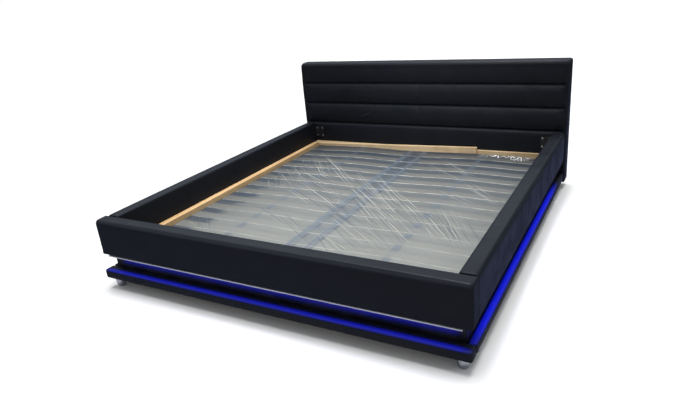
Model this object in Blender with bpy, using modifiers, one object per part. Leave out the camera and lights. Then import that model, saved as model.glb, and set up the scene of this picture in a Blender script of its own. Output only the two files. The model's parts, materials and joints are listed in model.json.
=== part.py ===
"""Upholstered bed for a 180 x 200 cm mattress, with a lit plinth and a double slatted base.

Metres, +Z up. The origin is on the floor under the middle of the bed. The headboard stands at +Y, and +X is
the right-hand side for someone who looks at the bed from its foot.
"""

import math

import bmesh
import bpy
from mathutils import Matrix, Vector

# Mattress and general clearances
MATTRESS_WIDTH = 1.800
MATTRESS_LENGTH = 2.000
MATTRESS_SIDE_PLAY = 0.020
MATTRESS_END_PLAY = 0.010
SEAT_GAP = 0.0003
CUT_OVERRUN = 0.010
FUSE_DEPTH = 0.0005
WELD_DISTANCE = 0.00001

# Padding: how many steps a face is cut into, and how flat it stays before it draws in
ROUNDING_STEPS = 3
FACE_TOLERANCE_SHARE = 0.001
ACROSS_STEPS = 2
FULLNESS_ACROSS = 4
FULLNESS_ALONG = 8
CHANNEL_FULLNESS = 2
BOARD_EASE = 0.0015

# Feet
FOOT_HEIGHT = 0.057
FOOT_RADIUS = 0.0275
FOOT_FLANGE_RADIUS = 0.024
FOOT_FLANGE_HEIGHT = 0.006
FOOT_GLIDE_RADIUS = 0.015
FOOT_GLIDE_HEIGHT = 0.005
FOOT_BOWL_STEPS = 5
FOOT_BOWL_FULLNESS = 0.75
FRONT_FOOT_SIDE_INSET = 0.050
FRONT_FOOT_SETBACK = 0.050
SIDE_FOOT_FRONT_SETBACK = 0.166
REAR_FOOT_HEAD_SETBACK = 0.250
FOOT_SIDES = 20

# Plinth and ledge
PLINTH_HEIGHT = 0.135
PLINTH_THICKNESS = 0.035
PLINTH_HEAD_DROP = 0.012
PLINTH_RECESS_FRONT = 0.048
PLINTH_RECESS_SIDE = 0.038
LEDGE_HEIGHT = 0.055
LEDGE_DEPTH = 0.060
LEDGE_RADIUS = 0.011
LEDGE_CROWN = 0.0012
LEDGE_STEPS = 6

# Side rails and footboard
RAIL_HEIGHT = 0.199
RAIL_THICKNESS = 0.083
RAIL_BOARD_THICKNESS = 0.045
RAIL_TOP_PADDING = 0.020
RAIL_END_PADDING = 0.008
RAIL_RADIUS = 0.021
RAIL_BOTTOM_RADIUS = 0.006
RAIL_CROWN = 0.002
RAIL_STEPS = 8
RAIL_UP_STEPS = 3

# Headboard
HEADBOARD_OVERHANG = 0.008
HEADBOARD_BOTTOM = 0.042
HEADBOARD_THICKNESS = 0.110
HEADBOARD_PADDING = 0.045
HEADBOARD_PANEL_THICKNESS = 0.018
HEADBOARD_WRAP = 0.003
HEADBOARD_CORNER_RADIUS = 0.015
BASE_PAD_CROWN = 0.003
BASE_PAD_STEPS = 10
BASE_PAD_UP_STEPS = 3
BOLSTER_HEIGHT = 0.1555
BOLSTER_CROWN = 0.020
BOLSTER_END_CROWN = 0.004
BOLSTER_RADIUS = 0.012
BOLSTER_STEPS = 12
BOLSTER_UP_STEPS = 5
POST_WIDTH = 0.060
POST_SIDE_INSET = 0.018
FRAME_RAIL_HEIGHT = 0.080

# Guide battens on the rails and the headboard
GUIDE_WIDTH = 0.040
GUIDE_HEIGHT = 0.040
GUIDE_RISE = 0.007
HEAD_GUIDE_THICKNESS = 0.020
SLANTED_HEIGHT = 0.045
SLANTED_LENGTH = 1.335
SLANTED_ANGLE = math.radians(1.545)
SLANTED_LOW_END_DROP = 0.0105
SLANTED_END_PLAY = 0.005

# Support battens on the plinth
SUPPORT_WIDTH = 0.080
SUPPORT_HEIGHT = 0.040
SUPPORT_DROP = 0.0205

# Corner plates and their screws
PLATE_WIDTH = 0.140
PLATE_SHOWN_WIDTH = 0.075
PLATE_HEIGHT = 0.085
PLATE_THICKNESS = 0.003
PLATE_RISE = 0.080
SCREW_SPACING_X = 0.047
SCREW_SPACING_Z = 0.058
SCREW_SHANK_RADIUS = 0.0034
SCREW_HEAD_RADIUS = 0.0060
SCREW_HEAD_HEIGHT = 0.0025
SCREW_SIDES = 8

# Light strips
PROFILE_END_SETBACK = 0.004
PROFILE_SETBACK = 0.003
PROFILE_WIDTH = 0.024
PROFILE_HEIGHT = 0.005
PROFILE_WALL = 0.0015
STRIP_WIDTH = 0.012
STRIP_THICKNESS = 0.002
STRIP_END_SETBACK = 0.030
SIDE_STRIP_HEAD_SETBACK = 0.200
DRIVER_DEPTH = 0.030
DRIVER_LENGTH = 0.160
DRIVER_HEIGHT = 0.050
DRIVER_RISE = 0.015
DRIVER_HEAD_SETBACK = 0.290

# Steel frame of the slatted base
SLAT_BASE_SIDE_PLAY = 0.002
SLAT_BASE_HEAD_PLAY = 0.0035
SLAT_BASE_FOOT_PLAY = 0.015
TUBE_WIDTH = 0.030
TUBE_HEIGHT = 0.025
TUBE_WALL = 0.0015
TUBE_RADIUS = 0.002
MIDDLE_TUBE_OFFSET = 0.050
TIE_LENGTH = 0.030
TIE_HEIGHT = 0.020
TIE_PITCH = 0.500
FIRST_TIE_SETBACK = 0.435
LEG_FLANGE_RADIUS = 0.062
LEG_FLANGE_HEIGHT = 0.004
LEG_RADIUS = 0.016
LEG_GLIDE_RADIUS = 0.025
LEG_GLIDE_HEIGHT = 0.010
LEG_SETBACK_SHARE = 0.30
LEG_SIDES = 16

# Slats, caps, belts and film
SLAT_COUNT = 14
SLAT_WIDTH = 0.053
SLAT_THICKNESS = 0.008
SLAT_CAMBER = 0.0095
SLAT_STATIONS = 8
FIRST_SLAT_SETBACK = 0.0815
LAST_SLAT_SETBACK = 0.0685
CAP_LENGTH = 0.060
CAP_WIDTH = 0.062
CAP_WALL = 0.0025
CAP_SIDE_INSET = 0.006
BELT_OFFSET = 0.475
BELT_WIDTH = 0.040
BELT_THICKNESS = 0.0015
FILM_THICKNESS = 0.001

# Where the main faces lie, from the sizes above
INNER_HALF_WIDTH = MATTRESS_WIDTH / 2 + MATTRESS_SIDE_PLAY
OUTER_HALF_WIDTH = INNER_HALF_WIDTH + RAIL_THICKNESS
INNER_LENGTH = MATTRESS_LENGTH + 2 * MATTRESS_END_PLAY
LEDGE_OVERHANG = SEAT_GAP + LEDGE_DEPTH - PLINTH_RECESS_FRONT
TOTAL_LENGTH = LEDGE_OVERHANG + RAIL_THICKNESS + INNER_LENGTH + HEADBOARD_THICKNESS
HEAD_Y = TOTAL_LENGTH / 2 - HEADBOARD_THICKNESS
FOOT_Y = HEAD_Y - INNER_LENGTH
FOOTBOARD_FRONT_Y = FOOT_Y - RAIL_THICKNESS
PLINTH_FRONT_Y = FOOTBOARD_FRONT_Y + PLINTH_RECESS_FRONT
PLINTH_SIDE_X = OUTER_HALF_WIDTH - PLINTH_RECESS_SIDE
LEDGE_FRONT_Y = PLINTH_FRONT_Y - SEAT_GAP - LEDGE_DEPTH
PLINTH_BOTTOM = FOOT_HEIGHT + SEAT_GAP
PLINTH_TOP = PLINTH_BOTTOM + PLINTH_HEIGHT
RAIL_BOTTOM = PLINTH_TOP + SEAT_GAP
RAIL_TOP = RAIL_BOTTOM + RAIL_HEIGHT
HEADBOARD_HALF_WIDTH = OUTER_HALF_WIDTH + HEADBOARD_OVERHANG
BASE_PAD_TOP = RAIL_TOP
HEADBOARD_TOP = BASE_PAD_TOP + 3 * (SEAT_GAP + BOLSTER_HEIGHT)
GUIDE_BOTTOM = RAIL_BOTTOM + GUIDE_RISE
SUPPORT_TOP = PLINTH_TOP - SUPPORT_DROP
TUBE_BOTTOM = SUPPORT_TOP + SEAT_GAP
TUBE_TOP = TUBE_BOTTOM + TUBE_HEIGHT
FRAME_HALF_WIDTH = INNER_HALF_WIDTH - SEAT_GAP - GUIDE_WIDTH - SLAT_BASE_SIDE_PLAY
FRAME_HEAD_Y = HEAD_Y - 2 * (SEAT_GAP + HEAD_GUIDE_THICKNESS) - SLAT_BASE_HEAD_PLAY
FRAME_FOOT_Y = FOOT_Y + SLAT_BASE_FOOT_PLAY
CAP_BOTTOM = TUBE_TOP - FUSE_DEPTH
SLAT_BOTTOM = CAP_BOTTOM + CAP_WALL + SEAT_GAP
SLAT_OUTER_END = FRAME_HALF_WIDTH - CAP_SIDE_INSET - CAP_WALL - SEAT_GAP
SLAT_INNER_END = MIDDLE_TUBE_OFFSET - TUBE_WIDTH / 2 + CAP_WALL + SEAT_GAP
SLAT_FIRST_Y = FRAME_HEAD_Y - FIRST_SLAT_SETBACK
SLAT_LAST_Y = FRAME_FOOT_Y + LAST_SLAT_SETBACK
SLAT_PITCH = (SLAT_FIRST_Y - SLAT_LAST_Y) / (SLAT_COUNT - 1)

SIDES = (("left", -1), ("right", 1))

# Rotations that lay a flat outline in the plane named: its first coordinate, its second, then its thickness
PLANE_TURNS = {
    "XY": (0, 0, 0),
    "XZ": (math.pi / 2, 0, 0),
    "YZ": (math.pi / 2, 0, math.pi / 2),
}


def clear_scene():
    for obj in list(bpy.data.objects):
        bpy.data.objects.remove(obj, do_unlink=True)


def make_collection(name):
    collection = bpy.data.collections.new(name)
    bpy.context.scene.collection.children.link(collection)
    return collection


def make_material(name, colour, roughness, metallic=0.0, alpha=1.0, glow=0.0):
    material = bpy.data.materials.new(name)
    material.use_nodes = True
    shader = material.node_tree.nodes["Principled BSDF"]
    shader.inputs["Base Color"].default_value = (*colour, 1.0)
    shader.inputs["Roughness"].default_value = roughness
    shader.inputs["Metallic"].default_value = metallic
    shader.inputs["Alpha"].default_value = alpha
    shader.inputs["Emission Color"].default_value = (*colour, 1.0)
    shader.inputs["Emission Strength"].default_value = glow
    return material


def place(obj, collection, material=None):
    collection.objects.link(obj)
    if material:
        obj.data.materials.append(material)
    return obj


def side_span(sign, inner, outer):
    """The X span between two distances from the bed's middle, on the side of the sign."""
    return tuple(sorted((sign * inner, sign * outer)))


def block_mesh(name, spans):
    """A box as a mesh about its own centre, with that centre."""
    bm = bmesh.new()
    bmesh.ops.create_cube(bm, size=1.0)
    bmesh.ops.scale(bm, vec=[high - low for low, high in spans], verts=bm.verts)
    mesh = bpy.data.meshes.new(name)
    bm.to_mesh(mesh)
    bm.free()
    return mesh, Vector([(low + high) / 2 for low, high in spans])


def box(name, x, y, z, material, collection, ease=BOARD_EASE):
    """A board or block between the X, Y and Z spans given, with its edges eased."""
    mesh, centre = block_mesh(name, (x, y, z))
    obj = place(bpy.data.objects.new(name, mesh), collection, material)
    obj.location = centre
    if ease:
        bevel = obj.modifiers.new("eased edges", "BEVEL")
        bevel.width = ease
        bevel.segments = 1
    return obj


def even_cuts(count):
    return [2 * step / count - 1 for step in range(1, count)]


def end_cuts(count):
    """Cuts that crowd towards both ends, where a long pad draws in."""
    return [-math.cos(math.pi * step / count) for step in range(1, count)]


def face_sides(share):
    """For each axis 1 on a block's high face, -1 on its low face and 0 between them."""
    return [round(value) if abs(value) > 1 - FACE_TOLERANCE_SHARE else 0 for value in share]


def padded_block(name, spans, crowns, fullness, cuts, radius, bottom_radius, material, collection):
    """A stuffed block: its faces crown to the spans given and draw in towards rounded edges.

    crowns has the height of the low and the high face's crown for each axis. fullness is how flat a face
    stays along each axis before it draws in. cuts are the shares of each half length that divide the faces.
    """
    lows = [span[0] + crown[0] for span, crown in zip(spans, crowns)]
    highs = [span[1] - crown[1] for span, crown in zip(spans, crowns)]
    halves = [(high - low) / 2 for low, high in zip(lows, highs)]
    mesh, centre = block_mesh(name, list(zip(lows, highs)))
    bm = bmesh.new()
    bm.from_mesh(mesh)
    for axis in range(3):
        normal = Vector([float(other == axis) for other in range(3)])
        for share in cuts[axis]:
            geometry = bm.verts[:] + bm.edges[:] + bm.faces[:]
            bmesh.ops.bisect_plane(bm, geom=geometry, plane_co=normal * halves[axis] * share, plane_no=normal)
    shares = {vert: [vert.co[axis] / halves[axis] for axis in range(3)] for vert in bm.verts}
    weights = bm.edges.layers.float.new("bevel_weight_edge")
    for edge in bm.edges:
        ends = [face_sides(shares[vert]) for vert in edge.verts]
        shared = [first if first == second else 0 for first, second in zip(*ends)]
        if sum(map(abs, shared)) >= 2:
            edge[weights] = bottom_radius / radius if shared[2] < 0 else 1.0
    for vert, share in shares.items():
        for axis, side in enumerate(face_sides(share)):
            drawn = [1 - abs(share[other]) ** fullness[other] for other in range(3) if other != axis]
            vert.co[axis] += side * crowns[axis][side > 0] * math.prod(drawn)
    bm.to_mesh(mesh)
    bm.free()
    mesh.shade_smooth()
    obj = place(bpy.data.objects.new(name, mesh), collection, material)
    obj.location = centre
    bevel = obj.modifiers.new("rounded edges", "BEVEL")
    bevel.limit_method = "WEIGHT"
    bevel.width = radius
    bevel.segments = ROUNDING_STEPS
    return obj


def combine(target, operation, others):
    """Cuts the others' shapes from the target, or fuses them with it."""
    for other in others:
        other.hide_render = True
        other.display_type = "WIRE"
        boolean = target.modifiers.new(f"{operation.lower()} {other.name}", "BOOLEAN")
        boolean.operation = operation
        boolean.object = other


def extruded(name, outline, plane, span, material, collection):
    """A flat outline, filled and made as thick as the span on the axis that its plane leaves out."""
    curve = bpy.data.curves.new(name, "CURVE")
    curve.dimensions = "2D"
    curve.fill_mode = "BOTH"
    curve.extrude = (span[1] - span[0]) / 2
    spline = curve.splines.new("POLY")
    spline.points.add(len(outline) - 1)
    for point, (first, second) in zip(spline.points, outline):
        point.co = (first, second, 0, 1)
    spline.use_cyclic_u = True
    obj = place(bpy.data.objects.new(name, curve), collection, material)
    obj.rotation_euler = PLANE_TURNS[plane]
    middle = (span[0] + span[1]) / 2
    obj.location = {"XY": (0, 0, middle), "XZ": (0, middle, 0), "YZ": (middle, 0, 0)}[plane]
    return obj


def as_mesh(curve, collection):
    """The curve's shape as a mesh with welded caps, which can be cut and fused. The curve is removed."""
    bpy.context.view_layer.update()
    name = curve.name
    matrix = curve.matrix_world.copy()
    mesh = bpy.data.meshes.new_from_object(curve.evaluated_get(bpy.context.evaluated_depsgraph_get()))
    bm = bmesh.new()
    bm.from_mesh(mesh)
    bmesh.ops.remove_doubles(bm, verts=bm.verts, dist=WELD_DISTANCE)
    bm.to_mesh(mesh)
    bm.free()
    bpy.data.objects.remove(curve, do_unlink=True)
    obj = place(bpy.data.objects.new(name, mesh), collection)
    obj.matrix_world = matrix
    return obj


def repeated(obj, count, step):
    """Copies along the object's own axes, as separate solids."""
    array = obj.modifiers.new("repeated", "ARRAY")
    array.count = count
    array.use_relative_offset = False
    array.use_constant_offset = True
    array.constant_offset_displace = step
    return obj


def rounded_rectangle(first, second, radius, steps=ROUNDING_STEPS):
    """A rectangle between two spans, with round corners."""
    outline = []
    corners = ((1, 1, 0), (0, 1, 1), (0, 0, 2), (1, 0, 3))
    for right, top, quarter in corners:
        middle = (first[right] + (-radius if right else radius), second[top] + (-radius if top else radius))
        for step in range(steps + 1):
            angle = (quarter + step / steps) * math.pi / 2
            outline.append((middle[0] + radius * math.cos(angle), middle[1] + radius * math.sin(angle)))
    return outline


def turned(name, profile, location, sides, material, collection):
    """A solid of revolution. The profile's points are (radius, height), from the top down its outer side."""
    mesh = bpy.data.meshes.new(name)
    bm = bmesh.new()
    points = [bm.verts.new((radius, 0, height)) for radius, height in profile]
    for first, second in zip(points, points[1:]):
        bm.edges.new((first, second))
    bm.to_mesh(mesh)
    bm.free()
    obj = place(bpy.data.objects.new(name, mesh), collection, material)
    screw = obj.modifiers.new("turned", "SCREW")
    screw.steps = screw.render_steps = sides
    screw.use_merge_vertices = True
    screw.merge_threshold = WELD_DISTANCE
    screw.use_smooth_shade = True
    obj.location = location
    return obj


def make_feet(bed, materials):
    """Turned chrome feet: a flange, a full bowl that narrows downwards, and a flat glide."""
    bowl_height = FOOT_HEIGHT - FOOT_FLANGE_HEIGHT - FOOT_GLIDE_HEIGHT
    profile = [(0, FOOT_HEIGHT), (FOOT_FLANGE_RADIUS, FOOT_HEIGHT)]
    profile.append((FOOT_FLANGE_RADIUS, FOOT_HEIGHT - FOOT_FLANGE_HEIGHT))
    for step in range(FOOT_BOWL_STEPS + 1):
        angle = step / FOOT_BOWL_STEPS * math.pi / 2
        across = max(math.cos(angle), 0) ** FOOT_BOWL_FULLNESS
        down = math.sin(angle) ** FOOT_BOWL_FULLNESS
        radius = FOOT_GLIDE_RADIUS + (FOOT_RADIUS - FOOT_GLIDE_RADIUS) * across
        profile.append((radius, FOOT_GLIDE_HEIGHT + bowl_height * (1 - down)))
    profile += [(FOOT_GLIDE_RADIUS, 0), (0, 0)]
    for side, sign in SIDES:
        spots = (
            ("front", OUTER_HALF_WIDTH - FRONT_FOOT_SIDE_INSET, LEDGE_FRONT_Y + FRONT_FOOT_SETBACK),
            ("side", PLINTH_SIDE_X, LEDGE_FRONT_Y + SIDE_FOOT_FRONT_SETBACK),
            ("rear", PLINTH_SIDE_X, HEAD_Y - REAR_FOOT_HEAD_SETBACK),
        )
        for spot, x, y in spots:
            turned(f"foot_{spot}_{side}", profile, (sign * x, y, 0), FOOT_SIDES, materials["chrome"], bed)


def make_plinth(bed, materials):
    """Four boards on edge, set back under the rails, and the padded ledge bars at their foot."""
    z = (PLINTH_BOTTOM, PLINTH_TOP)
    board = materials["black_board"]
    inner_front = PLINTH_FRONT_Y + PLINTH_THICKNESS
    inner_side = PLINTH_SIDE_X - PLINTH_THICKNESS
    head_end = HEAD_Y - SEAT_GAP
    x = (-PLINTH_SIDE_X, PLINTH_SIDE_X)
    box("plinth_front", x, (PLINTH_FRONT_Y, inner_front), z, board, bed)
    x = (-inner_side + SEAT_GAP, inner_side - SEAT_GAP)
    head_z = (z[0], z[1] - PLINTH_HEAD_DROP)
    box("plinth_head", x, (head_end - PLINTH_THICKNESS, head_end), head_z, board, bed)
    for side, sign in SIDES:
        y = (inner_front + SEAT_GAP, head_end)
        box(f"plinth_{side}", side_span(sign, inner_side, PLINTH_SIDE_X), y, z, board, bed)
    ledge_z = (PLINTH_BOTTOM, PLINTH_BOTTOM + LEDGE_HEIGHT)
    crowns = ((LEDGE_CROWN, LEDGE_CROWN), (LEDGE_CROWN, LEDGE_CROWN), (0, LEDGE_CROWN))
    spans = ((-OUTER_HALF_WIDTH, OUTER_HALF_WIDTH), (LEDGE_FRONT_Y, PLINTH_FRONT_Y - SEAT_GAP), ledge_z)
    fullness = (FULLNESS_ALONG, FULLNESS_ACROSS, FULLNESS_ACROSS)
    cuts = (end_cuts(LEDGE_STEPS), even_cuts(ACROSS_STEPS), even_cuts(ACROSS_STEPS))
    leather = materials["black_leather"]
    padded_block("ledge_front", spans, crowns, fullness, cuts, LEDGE_RADIUS, LEDGE_RADIUS, leather, bed)
    fullness = (FULLNESS_ACROSS, FULLNESS_ALONG, FULLNESS_ACROSS)
    cuts = (cuts[1], cuts[0], cuts[2])
    for side, sign in SIDES:
        x = side_span(sign, PLINTH_SIDE_X + SEAT_GAP, OUTER_HALF_WIDTH)
        spans = (x, (PLINTH_FRONT_Y, head_end), ledge_z)
        padded_block(f"ledge_{side}", spans, crowns, fullness, cuts, LEDGE_RADIUS, LEDGE_RADIUS, leather, bed)


def padded_rail(name, spans, along, end_padding, bed, cutters, materials):
    """A board in a padded cover that is open underneath. along is the long axis."""
    across = 1 - along
    crowns = [(0, 0), (0, 0), (0, RAIL_CROWN)]
    crowns[across] = (RAIL_CROWN, RAIL_CROWN)
    fullness = [FULLNESS_ACROSS] * 3
    fullness[along] = FULLNESS_ALONG
    cuts = [even_cuts(ACROSS_STEPS), even_cuts(ACROSS_STEPS), even_cuts(RAIL_UP_STEPS)]
    cuts[along] = end_cuts(RAIL_STEPS)
    leather = materials["black_leather"]
    cover = padded_block(
        f"{name}_cover", spans, crowns, fullness, cuts, RAIL_RADIUS, RAIL_BOTTOM_RADIUS, leather, bed
    )
    pocket = [None, None, (RAIL_BOTTOM - CUT_OVERRUN, RAIL_TOP - RAIL_TOP_PADDING)]
    middle = (spans[across][0] + spans[across][1]) / 2
    half_board = RAIL_BOARD_THICKNESS / 2
    pocket[across] = (middle - half_board - SEAT_GAP, middle + half_board + SEAT_GAP)
    pocket[along] = (spans[along][0] + end_padding, spans[along][1] - end_padding)
    combine(cover, "DIFFERENCE", [box(f"{name}_pocket", *pocket, None, cutters, ease=0)])
    board = [(low + SEAT_GAP, high - SEAT_GAP) for low, high in pocket]
    board[2] = (RAIL_BOTTOM, RAIL_TOP - RAIL_TOP_PADDING - SEAT_GAP)
    box(f"{name}_board", *board, materials["board"], bed)


def make_rails(bed, cutters, materials):
    z = (RAIL_BOTTOM, RAIL_TOP)
    end_gap = PLATE_THICKNESS + 2 * SEAT_GAP
    y = (FOOT_Y + end_gap, HEAD_Y - end_gap)
    for side, sign in SIDES:
        x = side_span(sign, INNER_HALF_WIDTH, OUTER_HALF_WIDTH)
        padded_rail(f"side_rail_{side}", (x, y, z), 1, RAIL_END_PADDING, bed, cutters, materials)
    spans = ((-OUTER_HALF_WIDTH, OUTER_HALF_WIDTH), (FOOTBOARD_FRONT_Y, FOOT_Y), z)
    face_padding = (RAIL_THICKNESS - RAIL_BOARD_THICKNESS) / 2
    padded_rail("footboard", spans, 0, face_padding, bed, cutters, materials)


def make_headboard(bed, materials):
    """Three padded channels and a plain lower pad on a panel, with a timber frame and a wrap behind it."""
    x = (-HEADBOARD_HALF_WIDTH, HEADBOARD_HALF_WIDTH)
    pad_y = (HEAD_Y, HEAD_Y + HEADBOARD_PADDING)
    leather = materials["black_leather"]
    crowns = ((BOLSTER_END_CROWN, BOLSTER_END_CROWN), (BASE_PAD_CROWN, 0), (0, 0))
    fullness = (FULLNESS_ALONG, CHANNEL_FULLNESS, FULLNESS_ACROSS)
    cuts = (end_cuts(BASE_PAD_STEPS), [], even_cuts(BASE_PAD_UP_STEPS))
    spans = (x, pad_y, (HEADBOARD_BOTTOM, BASE_PAD_TOP))
    name = "headboard_base_pad"
    padded_block(name, spans, crowns, fullness, cuts, BOLSTER_RADIUS, BOLSTER_RADIUS, leather, bed)
    crowns = ((BOLSTER_END_CROWN, BOLSTER_END_CROWN), (BOLSTER_CROWN, 0), (0, 0))
    fullness = (FULLNESS_ALONG, CHANNEL_FULLNESS, CHANNEL_FULLNESS)
    cuts = (end_cuts(BOLSTER_STEPS), [], even_cuts(BOLSTER_UP_STEPS))
    for step, level in enumerate(("lower", "middle", "top")):
        bottom = BASE_PAD_TOP + SEAT_GAP + step * (BOLSTER_HEIGHT + SEAT_GAP)
        spans = (x, pad_y, (bottom, bottom + BOLSTER_HEIGHT))
        name = f"headboard_bolster_{level}"
        padded_block(name, spans, crowns, fullness, cuts, BOLSTER_RADIUS, BOLSTER_RADIUS, leather, bed)

    wrap_y = (pad_y[1] + SEAT_GAP, HEAD_Y + HEADBOARD_THICKNESS)
    z = (HEADBOARD_BOTTOM, HEADBOARD_TOP)
    mesh, centre = block_mesh("headboard_wrap", (x, wrap_y, z))
    bm = bmesh.new()
    bm.from_mesh(mesh)
    bm.faces.ensure_lookup_table()
    front = min(bm.faces, key=lambda face: face.calc_center_median().y)
    bmesh.ops.delete(bm, geom=[front], context="FACES_ONLY")
    bm.to_mesh(mesh)
    bm.free()
    wrap = place(bpy.data.objects.new("headboard_wrap", mesh), bed, leather)
    wrap.location = centre
    bevel = wrap.modifiers.new("rounded edges", "BEVEL")
    bevel.width = HEADBOARD_CORNER_RADIUS
    bevel.segments = ROUNDING_STEPS
    solidify = wrap.modifiers.new("wall", "SOLIDIFY")
    solidify.thickness = HEADBOARD_WRAP
    solidify.offset = -1

    inset = HEADBOARD_WRAP + SEAT_GAP
    panel_x = (x[0] + inset, x[1] - inset)
    panel_z = (z[0] + inset, z[1] - inset)
    panel_y = (wrap_y[0], wrap_y[0] + HEADBOARD_PANEL_THICKNESS)
    outline = rounded_rectangle(panel_x, panel_z, HEADBOARD_CORNER_RADIUS)
    extruded("headboard_panel", outline, "XZ", panel_y, materials["board"], bed)
    frame_y = (panel_y[1] + SEAT_GAP, wrap_y[1] - inset)
    timber = materials["pine"]
    outer = HEADBOARD_HALF_WIDTH - POST_SIDE_INSET
    frame_z = (z[0] + POST_SIDE_INSET, z[1] - POST_SIDE_INSET)
    for side, sign in SIDES:
        post_x = side_span(sign, outer - POST_WIDTH, outer)
        box(f"headboard_post_{side}", post_x, frame_y, frame_z, timber, bed)
    reach = outer - POST_WIDTH - SEAT_GAP
    rail_z = (frame_z[1] - FRAME_RAIL_HEIGHT, frame_z[1])
    box("headboard_top_rail", (-reach, reach), frame_y, rail_z, timber, bed)
    rail_z = (frame_z[0], frame_z[0] + FRAME_RAIL_HEIGHT)
    box("headboard_bottom_rail", (-reach, reach), frame_y, rail_z, timber, bed)


def make_battens(bed, materials):
    """Guide battens that show above the slats, the slanted one, and the support battens below."""
    pine = materials["pine"]
    z = (GUIDE_BOTTOM, GUIDE_BOTTOM + GUIDE_HEIGHT)
    outer = INNER_HALF_WIDTH - SEAT_GAP
    head_back = HEAD_Y - SEAT_GAP
    head_front = head_back - HEAD_GUIDE_THICKNESS
    slanted_back = head_front - SEAT_GAP
    slanted_front = slanted_back - HEAD_GUIDE_THICKNESS
    box("guide_batten_head", (-outer, outer), (head_front, head_back), z, pine, bed)
    foot_end = FOOT_Y + SEAT_GAP
    y = (foot_end, slanted_front - SEAT_GAP)
    box("guide_batten_left", side_span(-1, outer - GUIDE_WIDTH, outer), y, z, pine, bed)
    y = (foot_end, head_front - SEAT_GAP)
    box("guide_batten_right", side_span(1, outer - GUIDE_WIDTH, outer), y, z, pine, bed)

    low_end = Vector((-INNER_HALF_WIDTH + SLANTED_END_PLAY, 0, z[1] - SLANTED_LOW_END_DROP))
    spans = ((0, SLANTED_LENGTH), (slanted_front, slanted_back), (-SLANTED_HEIGHT, 0))
    slanted = box("slanted_batten", *spans, pine, bed)
    tilt = Matrix.Rotation(-SLANTED_ANGLE, 4, "Y")
    slanted.rotation_euler = tilt.to_euler()
    middle = slanted.location.copy()
    middle.y = 0
    slanted.location = low_end + tilt @ middle + Vector((0, slanted.location.y, 0))

    z = (SUPPORT_TOP - SUPPORT_HEIGHT, SUPPORT_TOP)
    outer = PLINTH_SIDE_X - PLINTH_THICKNESS - SEAT_GAP
    foot_end = PLINTH_FRONT_Y + PLINTH_THICKNESS + SEAT_GAP
    head_end = HEAD_Y - PLINTH_THICKNESS - 2 * SEAT_GAP
    reach = outer - SUPPORT_WIDTH - SEAT_GAP
    for side, sign in SIDES:
        x = side_span(sign, outer - SUPPORT_WIDTH, outer)
        box(f"support_batten_{side}", x, (foot_end, head_end), z, pine, bed)
    box("support_batten_head", (-reach, reach), (head_end - SUPPORT_WIDTH, head_end), z, pine, bed)
    box("support_batten_foot", (-reach, reach), (foot_end, foot_end + SUPPORT_WIDTH), z, pine, bed)


def make_corner_plates(bed, cutters, materials):
    """Flat steel plates between each rail's end and the board it meets, with four screws where they show."""
    bright = materials["bright_steel"]
    z = (RAIL_BOTTOM + PLATE_RISE, RAIL_BOTTOM + PLATE_RISE + PLATE_HEIGHT)
    inner = INNER_HALF_WIDTH - PLATE_SHOWN_WIDTH
    shown_middle = inner + PLATE_SHOWN_WIDTH / 2
    dome = math.pi / 4
    profile = [
        (0, SCREW_HEAD_HEIGHT),
        (SCREW_HEAD_RADIUS * math.cos(dome), SCREW_HEAD_HEIGHT * math.sin(dome)),
        (SCREW_HEAD_RADIUS, -FUSE_DEPTH),
        (SCREW_SHANK_RADIUS, -FUSE_DEPTH),
        (SCREW_SHANK_RADIUS, -PLATE_THICKNESS / 2),
        (0, -PLATE_THICKNESS / 2),
    ]
    head_back = HEAD_Y - SEAT_GAP
    foot_back = FOOT_Y + SEAT_GAP
    ends = {
        "head": (head_back - PLATE_THICKNESS, head_back, head_back - PLATE_THICKNESS, math.pi / 2),
        "foot": (foot_back, foot_back + PLATE_THICKNESS, foot_back + PLATE_THICKNESS, -math.pi / 2),
    }
    for end, (low_y, high_y, face_y, turn) in ends.items():
        for side, sign in SIDES:
            x = side_span(sign, inner, inner + PLATE_WIDTH)
            name = f"corner_plate_{end}_{side}"
            plate = box(name, x, (low_y, high_y), z, materials["black_steel"], bed, ease=0)
            screws = []
            for across in (-1, 1):
                for up in (-1, 1):
                    screw_x = sign * (shown_middle + across * SCREW_SPACING_X / 2)
                    screw_z = (z[0] + z[1]) / 2 + up * SCREW_SPACING_Z / 2
                    spot = (screw_x, face_y, screw_z)
                    screw = turned(f"{name}_screw", profile, spot, SCREW_SIDES, bright, cutters)
                    screw.rotation_euler.x = turn
                    screws.append(screw)
            combine(plate, "UNION", screws)


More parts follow.
